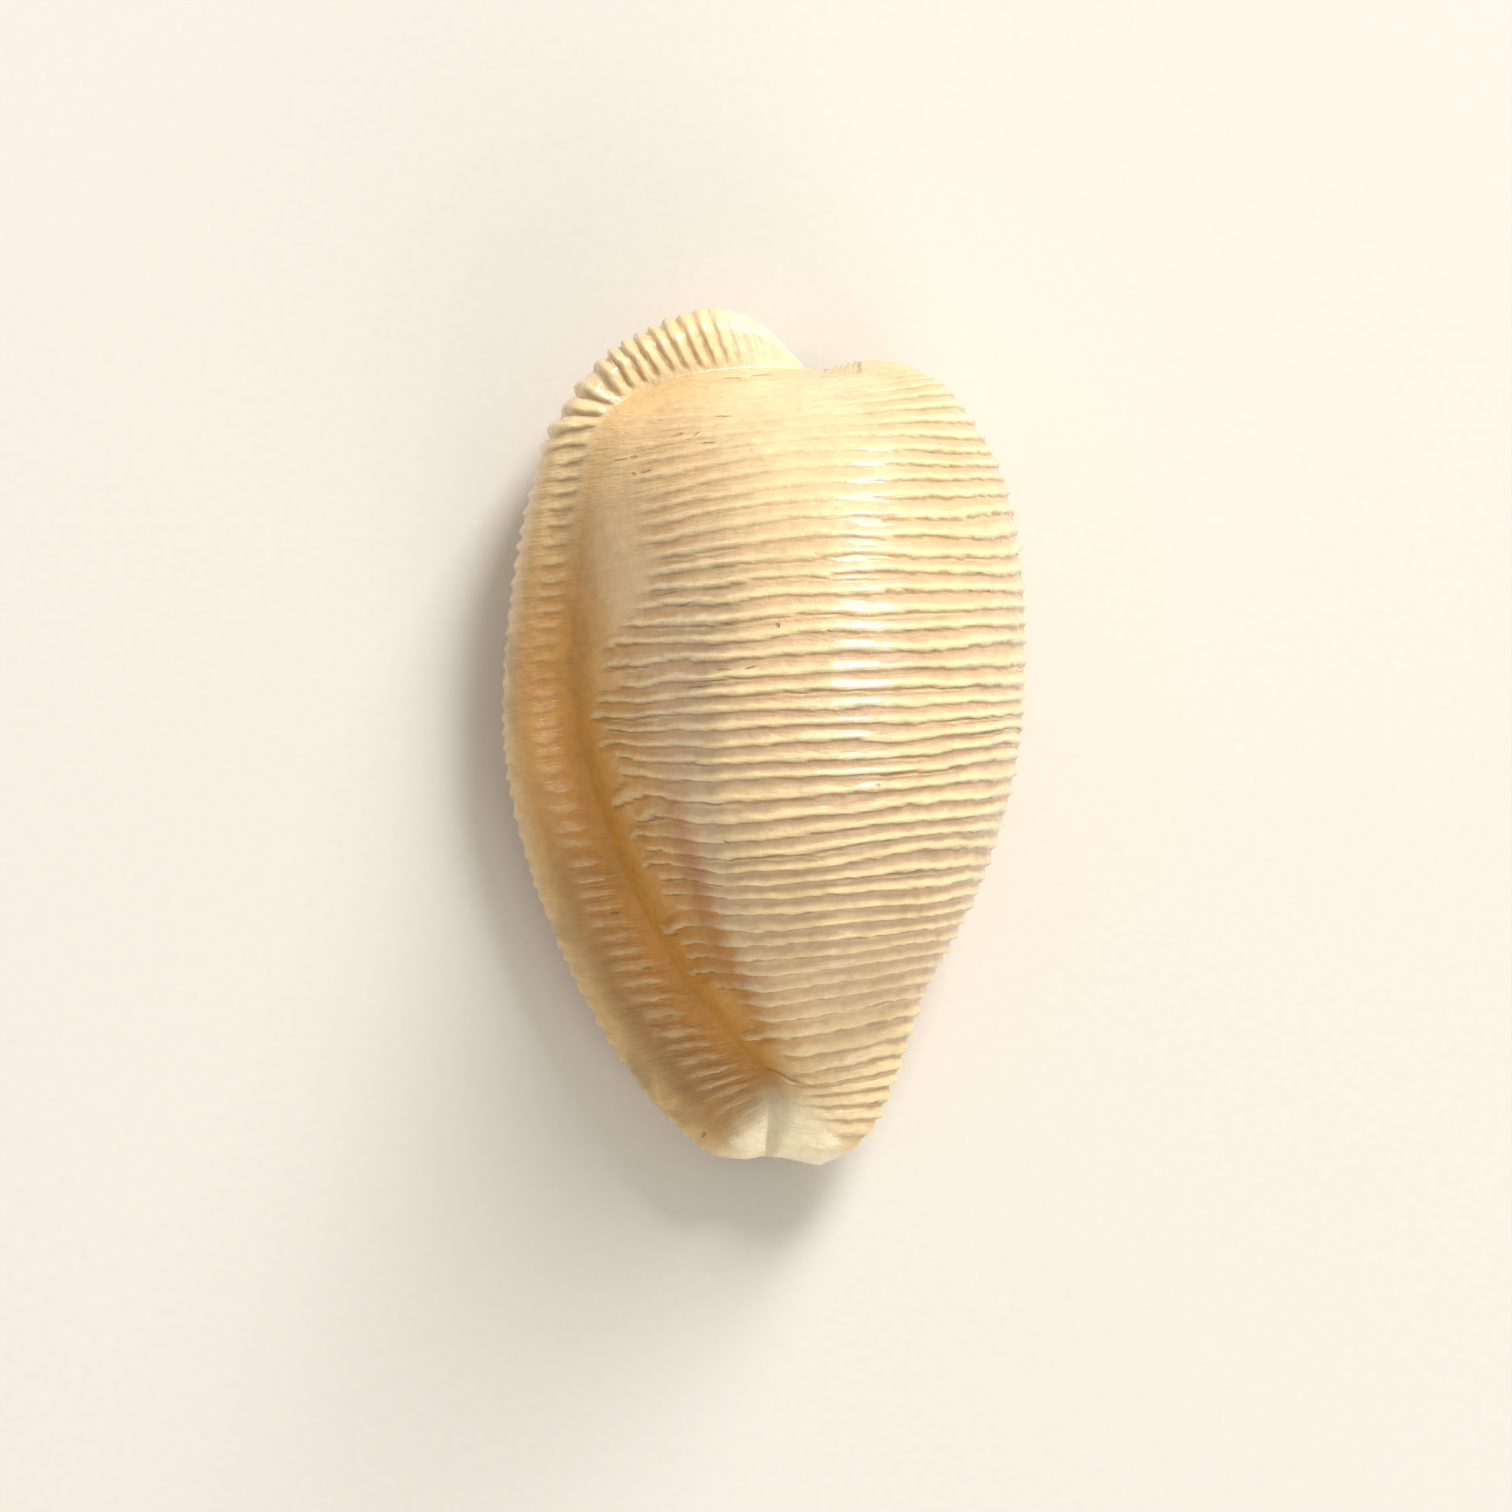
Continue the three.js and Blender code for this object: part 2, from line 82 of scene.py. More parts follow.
RIGHT_MARGIN = [
    (0, 2.6, 13.8, 3.8),
    (3, 3.2, 13.93, 4.3),
    (7, 4.13, 14.14, 4.8),
    (10, 4.85, 14.03, 4.9),
    (14, 5.89, 13.63, 5.3),
    (17, 6.85, 12.98, 5.6),
    (21, 8.4, 10.85, 5.9),
    (25, 9.22, 8.45, 6.1),
    (28, 9.57, 6.3, 6.3),
    (33, 9.7, 3.0, 6.4),
    (36, 9.62, 1.05, 6.3),
    (39, 9.45, -0.6, 6.1),
    (42, 9.06, -2.45, 5.9),
    (46, 8.15, -5.2, 5.5),
    (49, 7.45, -6.75, 5.3),
    (52, 6.58, -8.35, 5.0),
    (54, 5.95, -9.6, 4.7),
    (56, 5.5, -10.85, 4.5),
    (58, 5.06, -12.15, 4.2),
    (60, 4.6, -13.35, 4.0),
    (62, 3.95, -14.65, 3.6),
    (63, 3.2, -15.4, 3.3),
    (64, 2.0, -15.97, 2.9),
]
# The valley between the rolled lip and the back: rib, x, y, height, how far the lip's crest rises above
# it, the share of the way to the top of the back over which its bank curves up, and how slowly it sets off.
TROUGH = [
    (0, 1.5, 13.86, 4.0, 0.05, 0.4, 1.4),
    (3, 0.3, 13.8, 4.6, 0.1, 0.4, 1.4),
    (6, -1.1, 13.76, 5.0, 0.15, 0.5, 1.4),
    (10, -3.2, 13.45, 5.4, 0.15, 0.6, 1.3),
    (14, -5.03, 12.7, 5.6, 0.1, 0.8, 1.1),
    (17, -6.03, 11.73, 6.0, -0.3, 0.95, 0.9),
    (21, -6.6, 9.4, 6.3, -0.9, 1.0, 0.8),
    (27, -7.0, 5.55, 5.3, -0.5, 0.85, 0.95),
    (33, -7.34, 1.9, 4.3, 0.1, 0.7, 1.3),
    (36, -7.15, 0.2, 4.1, 0.2, 0.65, 1.4),
    (39, -6.67, -1.7, 4.0, 0.2, 0.65, 1.4),
    (43, -5.66, -4.4, 3.9, 0.2, 0.65, 1.4),
    (46, -4.92, -6.0, 3.9, 0.2, 0.7, 1.4),
    (49, -3.95, -7.7, 3.9, 0.2, 0.8, 1.4),
    (52, -2.83, -9.5, 3.9, 0.2, 0.9, 1.4),
    (54, -1.75, -10.8, 3.9, 0.15, 1.0, 1.4),
    (57, -0.55, -12.0, 4.0, 0.1, 1.0, 1.3),
    (60, 0.04, -13.1, 4.1, 0.05, 0.9, 1.2),
    (62, 0.15, -14.1, 4.0, 0.0, 0.8, 1.2),
    (64, 0.04, -15.6, 3.3, 0.0, 0.6, 1.2),
]
# The top of the back: rib, x, y. Its height comes from BACK_PROFILE.
BACK_LINE = [
    (0, 1.95, 13.78),
    (5, 1.7, 13.64),
    (10, 1.5, 13.47),
    (14, 1.4, 13.2),
    (17, 1.34, 12.3),
    (20, 1.34, 11.1),
    (24, 1.34, 8.9),
    (28, 1.34, 6.15),
    (33, 1.34, 2.5),
    (39, 1.34, -1.45),
    (43, 1.34, -4.1),
    (46, 1.34, -5.8),
    (49, 1.34, -7.5),
    (52, 1.34, -9.15),
    (54, 1.34, -10.3),
    (56, 1.34, -11.6),
    (58, 1.4, -12.75),
    (60, 1.5, -13.6),
    (62, 1.4, -14.5),
    (64, 0.75, -15.67),
]
# Seen from the side: y and the height of the back, which flares out level at the anterior tip.
BACK_PROFILE = [
    (-15.67, 3.7),
    (-15.3, 4.3),
    (-14.6, 4.6),
    (-13.6, 4.85),
    (-12.6, 5.4),
    (-11.7, 6.2),
    (-10.8, 7.5),
    (-9.5, 9.7),
    (-8.0, 11.9),
    (-4.8, 14.5),
    (-1.2, 15.7),
    (2.5, 15.9),
    (6.4, 15.1),
    (9.0, 13.7),
    (11.1, 11.6),
    (12.3, 9.6),
    (13.2, 7.2),
    (13.78, 4.5),
]
# The aperture's middle line and half its width: rib, x, y, half width.
APERTURE = [
    (0, 1.85, 13.2, 0.5),
    (3, 1.5, 12.7, 0.55),
    (6, 1.0, 12.1, 0.6),
    (10, 0.2, 11.3, 0.6),
    (14, -0.75, 10.3, 0.6),
    (17, -1.6, 9.35, 0.6),
    (21, -2.5, 7.9, 0.6),
    (27, -3.5, 5.0, 0.62),
    (33, -4.15, 1.6, 0.66),
    (39, -4.3, -1.8, 0.7),
    (46, -3.8, -6.0, 0.8),
    (54, -2.4, -10.8, 0.95),
    (60, -1.0, -13.8, 0.9),
    (62, -0.55, -14.45, 0.85),
    (64, -0.05, -15.0, 0.7),
]
# The base curves up a little towards both ends: y and height. Below 0 it is worn flat.
BASE_PROFILE = [
    (-15.2, 1.5),
    (-13, 0.75),
    (-10.5, 0.2),
    (-8, 0),
    (-4, -0.12),
    (3, -0.12),
    (7, 0),
    (10, 0.25),
    (12, 0.75),
    (13.4, 1.4),
]

ROLL_CREST = 0.38  # the rolled lip's crest lies this share of the way from the margin to the trough
LEFT_SQUARENESS = 2.3  # 2 makes that side of the back an ellipse, and more fills its shoulder
RIGHT_SQUARENESS = 2.15
LIP_FLAT = 0.45  # share of the lip's width that is flat underneath
FLAT_SHARE = 0.4  # share of the underside's facets that the flat gets
BASE_FLAT = 0.4  # share of the base's width that is flat
EDGE_ROUND = 0.5  # rounding of the aperture's edges
EDGE_SHARE = 0.3  # most of the width that the rounding takes where the shell is narrow
LIP_DEPTH = 1.7  # how deep the aperture's walls are, and at both ends
END_DEPTH = 1.1
WALL = 1.25  # thickness of the wall, and at both ends
END_WALL = 0.85
END_RIBS = 5  # the ends reach this many ribs in
END_INSET = 1.2  # the hollow stops short of both ends by this much more
INSET_RIBS = (4, 16)  # which fades between these ribs, counted from the end
HOLLOW_SHOULDER = 0.8  # height of the hollow's left edge, from the walls (0) to the trough (1)
HOLLOW_BANK = 1.3  # more makes the hollow's left bank set off more slowly
HOLLOW_FLOOR = 0.3  # its lowest line lies this share of the way from the aperture to the right side
LIP_BEVEL = 0.35  # the hollow's edge starts this far out from the aperture's wall, and above it
SLOPE_STEP = 1e-3  # step in ribs, to find the aperture's heading

# Height of the ribs from valley to crest, in some places by the rib: rib and height.
TOOTH = 0.34
BASE_RELIEF = 0.12
LIP_UNDERSIDE_RELIEF = 0.16
MARGIN_RELIEF = [(0, 0.0), (4, 0.03), (7, 0.2), (9, 0.28), (17, 0.28)]
MARGIN_RELIEF += [(20, 0.16), (30, 0.1), (60, 0.1), (64, 0.0)]
INNER_LIP_RELIEF = [(0, 0.0), (4, 0.02), (8, 0.2), (16, 0.24)]
INNER_LIP_RELIEF += [(20, 0.1), (30, 0.05), (40, 0.07), (58, 0.1), (63, 0.0)]
BACK_RELIEF = [(0, 0.0), (13, 0.01), (18, 0.03), (24, 0.06), (28, 0.1)]
BACK_RELIEF += [(33, 0.15), (48, 0.17), (58, 0.2), (62, 0.12)]
LEFT_STRENGTH = 1.6  # how much higher the back's ribs are at the trough than at the top
RIGHT_RELIEF = [(0, 0.0), (9, 0.0), (14, 0.05), (19, 0.12), (24, 0.15)]
RIGHT_RELIEF += [(44, 0.17), (54, 0.2), (60, 0.2), (62, 0.14), (64, 0.0)]
RIM_SMOOTHNESS = 0.2  # share of the ribs' height that is left on the lip's rim past the coarse ribs

# The bank is smooth up to this distance from the trough, where the back's ribs start: rib and distance.
BANK_WIDTH = [(14, 0.6), (24, 2.2), (30, 1.5), (36, 0.8), (48, 0.8), (54, 0.7), (60, 1.2), (64, 2.0)]
BANK_FADE = [(14, 1.0), (27, 1.5), (33, 1.0), (38, 0.6), (50, 0.7), (56, 0.8), (64, 0.8)]
BANK_UNEVEN = 0.5  # one rib starts this much further out than another

# Short ribs that stand across the edge, right of the posterior notch: x from and to, and y from.
SHORT_RIBS = (2.25, 3.55, 13.45)
SHORT_RIB_SPACING = 0.24
SHORT_RELIEF = 0.1
SHORT_FADE = (0.1, 0.3)  # they rise within these distances along x and y
SHORT_FROM = 2.5  # height above which they stand

# The mantle line, where the ribs of the two sides meet: y and x, and how far the ribs differ there.
MANTLE_LINE = [(-12.6, 1.2), (-11.2, 0.04), (-9.4, -0.9), (-7.1, -1.94), (-4.5, -2.68), (-3.0, -3.2)]
MANTLE_LINE += [(-0.8, -3.3), (1.43, -3.2), (3.67, -3.05), (5.16, -2.76), (6.65, -2.38), (10.0, -2.0)]
MANTLE_SHIFT = [(-12, 0.2), (-10, 0.6), (-8, 0.25), (-5.5, 0.7), (-3.5, 0.3)]
MANTLE_SHIFT += [(-1, 0.55), (1.5, 0.1), (4, 0.4), (7, 0.0)]
MANTLE_ENDS = (-12.5, -11.5, 6.5, 9)  # it starts between the first two y and ends between the last two
MANTLE_BLEND = 1.3  # the ribs bend over to their other place within this distance
MANTLE_GROOVE = 0.05  # depth of the shallow groove along it
GROOVE_WIDTH = 0.5
GROOVE_WEAR = 0.3  # share of the ribs' height that is lost in the groove
UPPER_HEIGHT = (4.5, 7)  # between these heights the tints and ribs of the top of the back set in

# The edge of the smooth callus that covers the anterior tip: x and y, and how soft the edge is.
CALLUS_EDGE = [(-3.6, -16), (-1.9, -14.6), (-0.7, -13.0), (0, -12.35), (0.9, -12.62)]
CALLUS_EDGE += [(1.85, -12.97), (2.5, -13.5), (3.1, -14.7), (3.7, -16)]
CALLUS_FADE = [(-1.5, 3.0), (-0.3, 2.6), (0.4, 1.6), (1.8, 1.6), (2.4, 2.0), (3.5, 2.4)]
CALLUS_THICKNESS = 0.02
CALLUS_COVER = 0.8  # share of the ribs' height that it levels
CALLUS_FROM = 1.5  # height above which it lies
CALLUS_LIP_RIBS = (3, 8)  # the posterior end of the lip has it too, up to between these ribs
CRACK_WIDTH = 0.045  # a dark crack runs along the middle of its edge
CRACK_ENDS = (-0.1, 0.2, 1.5, 2.0)  # it starts between the first two x and ends between the last two

# How strong each tint is along the shell: y and amount for the streak, and rib and amount for the trough.
STREAK_STRENGTH = [(-12.5, 0.0), (-10.5, 0.5), (-8.0, 0.75), (-5.5, 1.0), (-3.4, 1.0)]
STREAK_STRENGTH += [(-1.5, 0.4), (3.5, 0.12), (6, 0)]
STREAK_WIDTH = 0.5
WARM_SHADE_FADE = 1.8  # a warmer tint left of the mantle line, painted warm shade for the side of the back turned from the key light; it pales within this distance
AMBER_STRENGTH = [(0, 0.0), (19, 0.0), (24, 0.25), (30, 0.7), (38, 1.0), (55, 1.0), (58, 0.7), (61, 0.0)]
AMBER_FROM = 2  # height above which the amber lies
AMBER_LIP_WIDTH = 1.5  # how far it reaches from the trough over the lip, and over the back by the rib
AMBER_BACK_WIDTH = [(0, 0.7), (34, 1.4), (43, 2.0), (49, 2.6), (54, 2.8), (58, 1.8), (64, 1.2)]
LIP_TINT_RIBS = (14, 32)  # the lip's own tint sets in between these ribs
LIP_TINT_FADE = 1.4  # it fades within this distance past the trough
PINK_RANGE = (-14.5, -12.0, 5.0, 8.5)  # the valleys are pinkish between these y, most in the middle

ROWS_PER_RIB = 9
HOLLOW_ROWS = 22
HOLLOW_INSET = 1.5  # ribs between each end and the hollow
HOLLOW_FACES = (2, 5, 5, 5, 2)  # facets of each stretch across it

ROUND_CREST = 0.55  # crest sharpness of the broad ribs
LINES_PER_RIB = 5  # growth lines side by side on a rib, and how long they are
LINE_LENGTH = 0.7
LINE_FRAY = 0.9  # how far the growth lines, and the fine pores, shift the edges of the crests' tints
PORE_FRAY = 0.6
THREAD_THINNESS = 9  # more makes the threads in the valleys thinner

# Scratches, pits and open cracks that the shell has from the beach: x, y, half length, half width, angle.
SCRATCHES = (
    (-4.79, 10.49, 0.17, 0.06, 10),
    (-5.25, 10.41, 0.3, 0.025, 8),
    (-4.79, 9.85, 0.1, 0.07, 0),
    (-4.32, 9.96, 0.25, 0.03, 12),
    (-2.46, 11.34, 0.2, 0.03, 35),
    (-2.01, 11.0, 0.3, 0.03, 3),
    (-1.49, 12.0, 0.35, 0.022, 0),
    (-3.17, 11.3, 0.3, 0.022, 20),
    (-1.08, 13.47, 0.5, 0.025, 0),
    (-0.07, 13.58, 0.45, 0.03, 5),
    (-3.58, 5.4, 0.45, 0.03, 12),
    (-2.83, 5.0, 0.35, 0.04, 20),
    (-2.4, 1.95, 0.5, 0.025, 5),
    (-1.42, 2.6, 0.3, 0.03, 0),
    (-0.45, 2.66, 0.25, 0.03, 15),
    (0.56, 4.2, 0.08, 0.1, 0),
    (2.46, 4.0, 0.1, 0.05, -30),
    (8.0, 6.16, 0.13, 0.05, 15),
    (7.67, 5.5, 0.08, 0.06, 0),
    (8.35, 5.5, 0.08, 0.05, 0),
    (4.26, -1.66, 0.1, 0.06, 0),
    (-1.34, -3.75, 0.15, 0.03, -35),
    (-5.5, -6.43, 0.2, 0.04, 5),
    (-4.28, -8.5, 0.2, 0.05, 8),
    (-2.2, -14.7, 0.12, 0.08, 60),
    (4.17, -13.5, 0.2, 0.03, 20),
)

# The photo's frame, at the height of the shell's margin.
FRAME_WIDTH = 56.3
FRAME_CENTRE = (-0.3, -0.65)
MARGIN_HEIGHT = 5
CAMERA_DISTANCE = 900
SENSOR_WIDTH = 36


def srgb(code):
    """A hex colour as linear red, green, blue and alpha."""
    channels = [int(code[i : i + 2], 16) / 255 for i in (1, 3, 5)]
    linear = [c / 12.92 if c <= 0.04045 else ((c + 0.055) / 1.055) ** 2.4 for c in channels]
    return (*linear, 1.0)


def add_node(tree, kind, inputs=None, **settings):
    """Adds a node to a tree with its settings, and sets its inputs or links them to other sockets."""
    node = tree.nodes.new(kind)
    for name, value in settings.items():
        setattr(node, name, value)
    for name, value in (inputs or {}).items():
        if isinstance(value, bpy.types.NodeSocket):
            tree.links.new(value, node.inputs[name])
        else:
            node.inputs[name].default_value = value
    return node


def smooth_curve(knots):
    """A smooth curve through knots of (place, value, value, ...), read at an array of places."""
    table = np.array(knots, float)
    place, value = table[:, 0], table[:, 1:]
    gap = np.diff(place)[:, None]
    steep = np.diff(value, axis=0) / gap
    slope = np.empty_like(value)
    slope[0], slope[-1] = steep[0], steep[-1]
    slope[1:-1] = (steep[:-1] * gap[1:] + steep[1:] * gap[:-1]) / (gap[:-1] + gap[1:])

    def read(at):
        at = np.asarray(at, float)
        i = np.clip(np.searchsorted(place, at) - 1, 0, len(gap) - 1)
        t = np.clip((at - place[i])[..., None] / gap[i], 0, 1)
        rise = t * t * (3 - 2 * t)
        bend = slope[i] * t * (1 - t) ** 2 + slope[i + 1] * t * t * (t - 1)
        return value[i] + (value[i + 1] - value[i]) * rise + bend * gap[i]

    return read


def straight_curve(knots):
    """The same with straight lines between the knots, for a single value."""
    place, value = np.array(knots, float).T
    return lambda at: np.interp(at, place, value)


lip_margin = smooth_curve(LIP_MARGIN)
right_margin = smooth_curve(RIGHT_MARGIN)
trough_line = smooth_curve(TROUGH)
back_line = smooth_curve(BACK_LINE)
back_profile = smooth_curve(BACK_PROFILE)
aperture = smooth_curve(APERTURE)
base_profile = smooth_curve(BASE_PROFILE)
mantle_line = smooth_curve(MANTLE_LINE)
margin_relief = straight_curve(MARGIN_RELIEF)
inner_lip_relief = straight_curve(INNER_LIP_RELIEF)
back_relief = straight_curve(BACK_RELIEF)
right_relief = straight_curve(RIGHT_RELIEF)
bank_width = straight_curve(BANK_WIDTH)
bank_fade = straight_curve(BANK_FADE)
mantle_shift = smooth_curve(MANTLE_SHIFT)
callus_edge = smooth_curve(CALLUS_EDGE)
callus_fade = straight_curve(CALLUS_FADE)
streak_strength = straight_curve(STREAK_STRENGTH)
amber_strength = straight_curve(AMBER_STRENGTH)
amber_back_width = straight_curve(AMBER_BACK_WIDTH)


def smoothstep(value, low, high):
    """0 below low, 1 above high, and smooth between them."""
    t = np.clip((value - low) / (high - low), 0, 1)
    return t * t * (3 - 2 * t)


def between(value, start, full, fading, end):
    """1 from full to fading, and 0 outside start and end."""
    return smoothstep(value, start, full) * (1 - smoothstep(value, fading, end))


def band(distance, width):
    """1 along a line, and about a third at this width from it."""
    return np.exp(-((distance / width) ** 2))


def mix(low, high, share):
    """The value that is this share of the way from low to high."""
    return low + (high - low) * share


def quarter(t):
    """Shares of a quarter turn, as an angle."""
    return t * math.pi / 2


def unit(vectors):
    """The vectors at length 1."""
    return vectors / np.linalg.norm(vectors, axis=-1, keepdims=True)


def lift(plan, height):
    """Points from plan points and heights."""
    plan, height = np.broadcast_arrays(plan, np.asarray(height)[..., None])
    return np.concatenate([plan, height[..., :1]], axis=-1)


def away_from_ends(ribs):
    """1 along the shell, falling to 0 at both notches."""
    return smoothstep(np.minimum(ribs, LAST_RIB - ribs), 0, END_RIBS)


def stations(ribs):
    """Everything that the ribs' curves are drawn from. Plan points are (ribs, 1, 2) and sizes (ribs, 1)."""
    s = SimpleNamespace(ribs=ribs[:, None])
    lip, right, trough = lip_margin(ribs), right_margin(ribs), trough_line(ribs)
    slit = aperture(ribs)
    ahead = aperture(np.minimum(ribs + SLOPE_STEP, LAST_RIB))
    behind = aperture(np.maximum(ribs - SLOPE_STEP, 0))
    along = unit(ahead[:, None, :2] - behind[:, None, :2])
    s.across = np.stack([-along[..., 1], along[..., 0]], axis=-1)
    s.lip, s.lip_z = lip[:, None, :2], lip[:, 2:]
    s.right, s.right_z = right[:, None, :2], right[:, 2:]
    s.trough, s.trough_z, s.roll_rise = trough[:, None, :2], trough[:, 2:3], trough[:, 3:4]
    s.bank, s.softness = trough[:, 4:5], trough[:, 5:]
    s.back = back_line(ribs)[:, None, :]
    s.back_z = back_profile(s.back[:, 0, 1])
    s.slit, s.half_width = slit[:, None, :2], slit[:, 2:]
    lip_width = np.linalg.norm(s.lip - s.slit, axis=-1) - s.half_width
    base_width = np.linalg.norm(s.right - s.slit, axis=-1) - s.half_width
    s.lip_round = np.minimum(EDGE_ROUND, EDGE_SHARE * lip_width)
    s.base_round = np.minimum(EDGE_ROUND, EDGE_SHARE * base_width)
    s.lip_edge = s.slit - s.across * (s.half_width + s.lip_round)[..., None]
    s.base_edge = s.slit + s.across * (s.half_width + s.base_round)[..., None]
    s.base_z = base_profile(s.slit[:, 0, 1])
    ends = away_from_ends(s.ribs)
    s.depth = mix(END_DEPTH, LIP_DEPTH, ends)
    s.wall = mix(END_WALL, WALL, ends)
    return s


def aperture_wall(s, side, edge_round, t):
    """A wall of the aperture: straight at first, and rounded out to the underside."""
    turn = quarter(np.maximum(t * 2 - 1, 0))
    straight = mix(s.base_z + s.depth, s.base_z + edge_round, np.minimum(t * 2, 1))
    height = np.where(t < 0.5, straight, s.base_z + edge_round * (1 - np.sin(turn)))
    reach = s.half_width + edge_round * (1 - np.cos(turn))
    return lift(s.slit + side * s.across * reach[..., None], height)


def lip_wall(s, t):
    """The aperture's wall on the lip's side."""
    return aperture_wall(s, -1, s.lip_round, t)


def base_wall(s, t):
    """The aperture's wall on the side of the base, from the underside inwards."""
    return aperture_wall(s, 1, s.base_round, 1 - t)


def lip_underside(s, t):
    """Flat beside the aperture, then a quarter of an ellipse out to the margin."""
    flat_end = mix(s.lip_edge, s.lip, LIP_FLAT)
    turn = quarter(np.maximum((t - FLAT_SHARE) / (1 - FLAT_SHARE), 0))
    flat = mix(s.lip_edge, flat_end, np.minimum(t / FLAT_SHARE, 1)[:, None])
    on_flat = t < FLAT_SHARE
    plan = np.where(on_flat[:, None], flat, mix(flat_end, s.lip, np.sin(turn)[:, None]))
    return lift(plan, np.where(on_flat, s.base_z, mix(s.lip_z, s.base_z, np.cos(turn))))


def lip_roll(s, t):
    """From the margin up to the rolled lip's crest."""
    turn = quarter(t)
    plan = mix(s.lip, s.trough, (ROLL_CREST * (1 - np.cos(turn)))[:, None])
    return lift(plan, mix(s.lip_z, s.trough_z + s.roll_rise, np.sin(turn)))


def roll_to_trough(s, t):
    """From the rolled lip's crest down into the trough, or up to it where there is no valley."""
    plan = mix(s.lip, s.trough, mix(ROLL_CREST, 1, t)[:, None])
    rise = np.where(s.roll_rise > 0, 0.5 + 0.5 * np.cos(t * math.pi), np.cos(quarter(t)))
    return lift(plan, s.trough_z + s.roll_rise * rise)


def plan_path(start, end, share, leave, arrive):
    """The way a rib takes from one plan point to the next, with its heading at both ends."""
    length = np.linalg.norm(end - start, axis=-1, keepdims=True)
    share = share[:, None]
    rise = share * share * (3 - 2 * share)
    bend = share * (1 - share) ** 2 * leave + share * share * (share - 1) * arrive
    return mix(start, end, rise) + length * bend


def back_left(s, t):
    """Up the left side of the back, out of the trough."""
    power = 2 / LEFT_SQUARENESS
    turn = quarter(t)
    share = 1 - np.cos(turn) ** power
    below = np.maximum(1 - share / s.bank, 0)
    rise = np.sin(turn) ** power * (1 - below * below) ** s.softness
    plan = plan_path(s.trough, s.back, share, unit(s.back - s.trough), unit(s.right - s.trough))
    return lift(plan, mix(s.trough_z, s.back_z, rise))


def back_right(s, t):
    """Down the right side of the back to its widest point."""
    power = 2 / RIGHT_SQUARENESS
    turn = quarter(t)
    share = np.sin(turn) ** power
    fall = np.maximum(np.cos(turn), 0) ** power
    plan = plan_path(s.back, s.right, share, unit(s.right - s.trough), unit(s.right - s.back))
    return lift(plan, mix(s.right_z, s.back_z, fall))


def under_base(s, t):
    """A quarter of an ellipse from the widest point in under the shell."""
    turn = quarter(t)
    flat_end = mix(s.base_edge, s.right, BASE_FLAT)
    plan = mix(s.right, flat_end, (1 - np.cos(turn))[:, None])
    return lift(plan, mix(s.right_z, s.base_z, np.sin(turn)))


def base_flat(s, t):
    """The flat of the base beside the aperture."""
    return lift(mix(s.right, s.base_edge, mix(1 - BASE_FLAT, 1, t)[:, None]), s.base_z)


def flange(ribs):
    """1 where the lip's coarse ribs fan round the posterior end, and 0 past them."""
    return 1 - smoothstep(ribs, LAST_FLANGE_RIB - 1, LAST_FLANGE_RIB + 3)


def tooth_relief(s, t):
    """The ribs end as teeth on the aperture's walls."""
    return TOOTH * away_from_ends(s.ribs) + 0 * t


def lip_underside_relief(s, t):
    """Under the lip the ribs run on from the teeth to the margin."""
    return mix(LIP_UNDERSIDE_RELIEF * away_from_ends(s.ribs), margin_relief(s.ribs), t)


def lip_roll_relief(s, t):
    """The lip's rim is nearly smooth above the notched margin, but for the coarse ribs."""
    smooth = mix(RIM_SMOOTHNESS, 1, flange(s.ribs))
    return margin_relief(s.ribs) * mix(1, smooth, smoothstep(t, 0.1, 0.5))


def inner_lip_relief_at(s, t):
    """The lip's ribs stand up again inside the rim and fade into the trough."""
    rim = margin_relief(s.ribs) * mix(RIM_SMOOTHNESS, 1, flange(s.ribs))
    inner = mix(rim, inner_lip_relief(s.ribs), smoothstep(t, 0, 0.25))
    return inner * (1 - smoothstep(t, 0.55, 0.95))


def back_left_relief(s, t):
    """The back's ribs start at the top of the bank and stand highest there."""
    return back_relief(s.ribs) * mix(LEFT_STRENGTH, 1, smoothstep(t, 0.3, 1))


def back_right_relief(s, t):
    """Towards the right margin the ribs are strong all along the shell."""
    return mix(back_relief(s.ribs), right_relief(s.ribs), smoothstep(t, 0, 0.6))


def under_base_relief(s, t):
    """They run on under the shell and get lower."""
    return mix(right_relief(s.ribs), BASE_RELIEF * (1 - flange(s.ribs)) * away_from_ends(s.ribs), t)


def base_flat_relief(s, t):
    """Beside the aperture they rise to the teeth."""
    base = BASE_RELIEF * (1 - flange(s.ribs))
    return mix(base, TOOTH / 2, smoothstep(t, 0.3, 1)) * away_from_ends(s.ribs)


def narrow(s, t):
    """Ribs with narrow crests, but for the broad ones at the anterior end."""
    return smoothstep(s.ribs, 53, 57) + 0 * t


def narrowing(s, t):
    """Ribs that start broad beside the trough."""
    return mix(0.6, narrow(s, t), smoothstep(t, 0.15, 0.55))


def broad(s, t):
    """Round ribs with narrow valleys, most of all round the posterior end."""
    return mix(0.75, 1, flange(s.ribs)) + 0 * t


def broadening(s, t):
    """Ribs that get broader and rounder towards the margin."""
    return mix(narrow(s, t), 0.75, smoothstep(t, 0.45, 0.9))


# The stretches of a rib's curve in order, with the facets each gets, how high its ribs stand and how broad.
STRETCHES = (
    ("lip wall", lip_wall, 5, tooth_relief, broad),
    ("lip underside", lip_underside, 20, lip_underside_relief, broad),
    ("lip roll", lip_roll, 11, lip_roll_relief, broad),
    ("inner lip", roll_to_trough, 12, inner_lip_relief_at, broad),
    ("back left", back_left, 38, back_left_relief, narrowing),
    ("back right", back_right, 34, back_right_relief, broadening),
    ("under base", under_base, 19, under_base_relief, broad),
    ("base flat", base_flat, 7, base_flat_relief, broad),
    ("base wall", base_wall, 5, tooth_relief, broad),
)


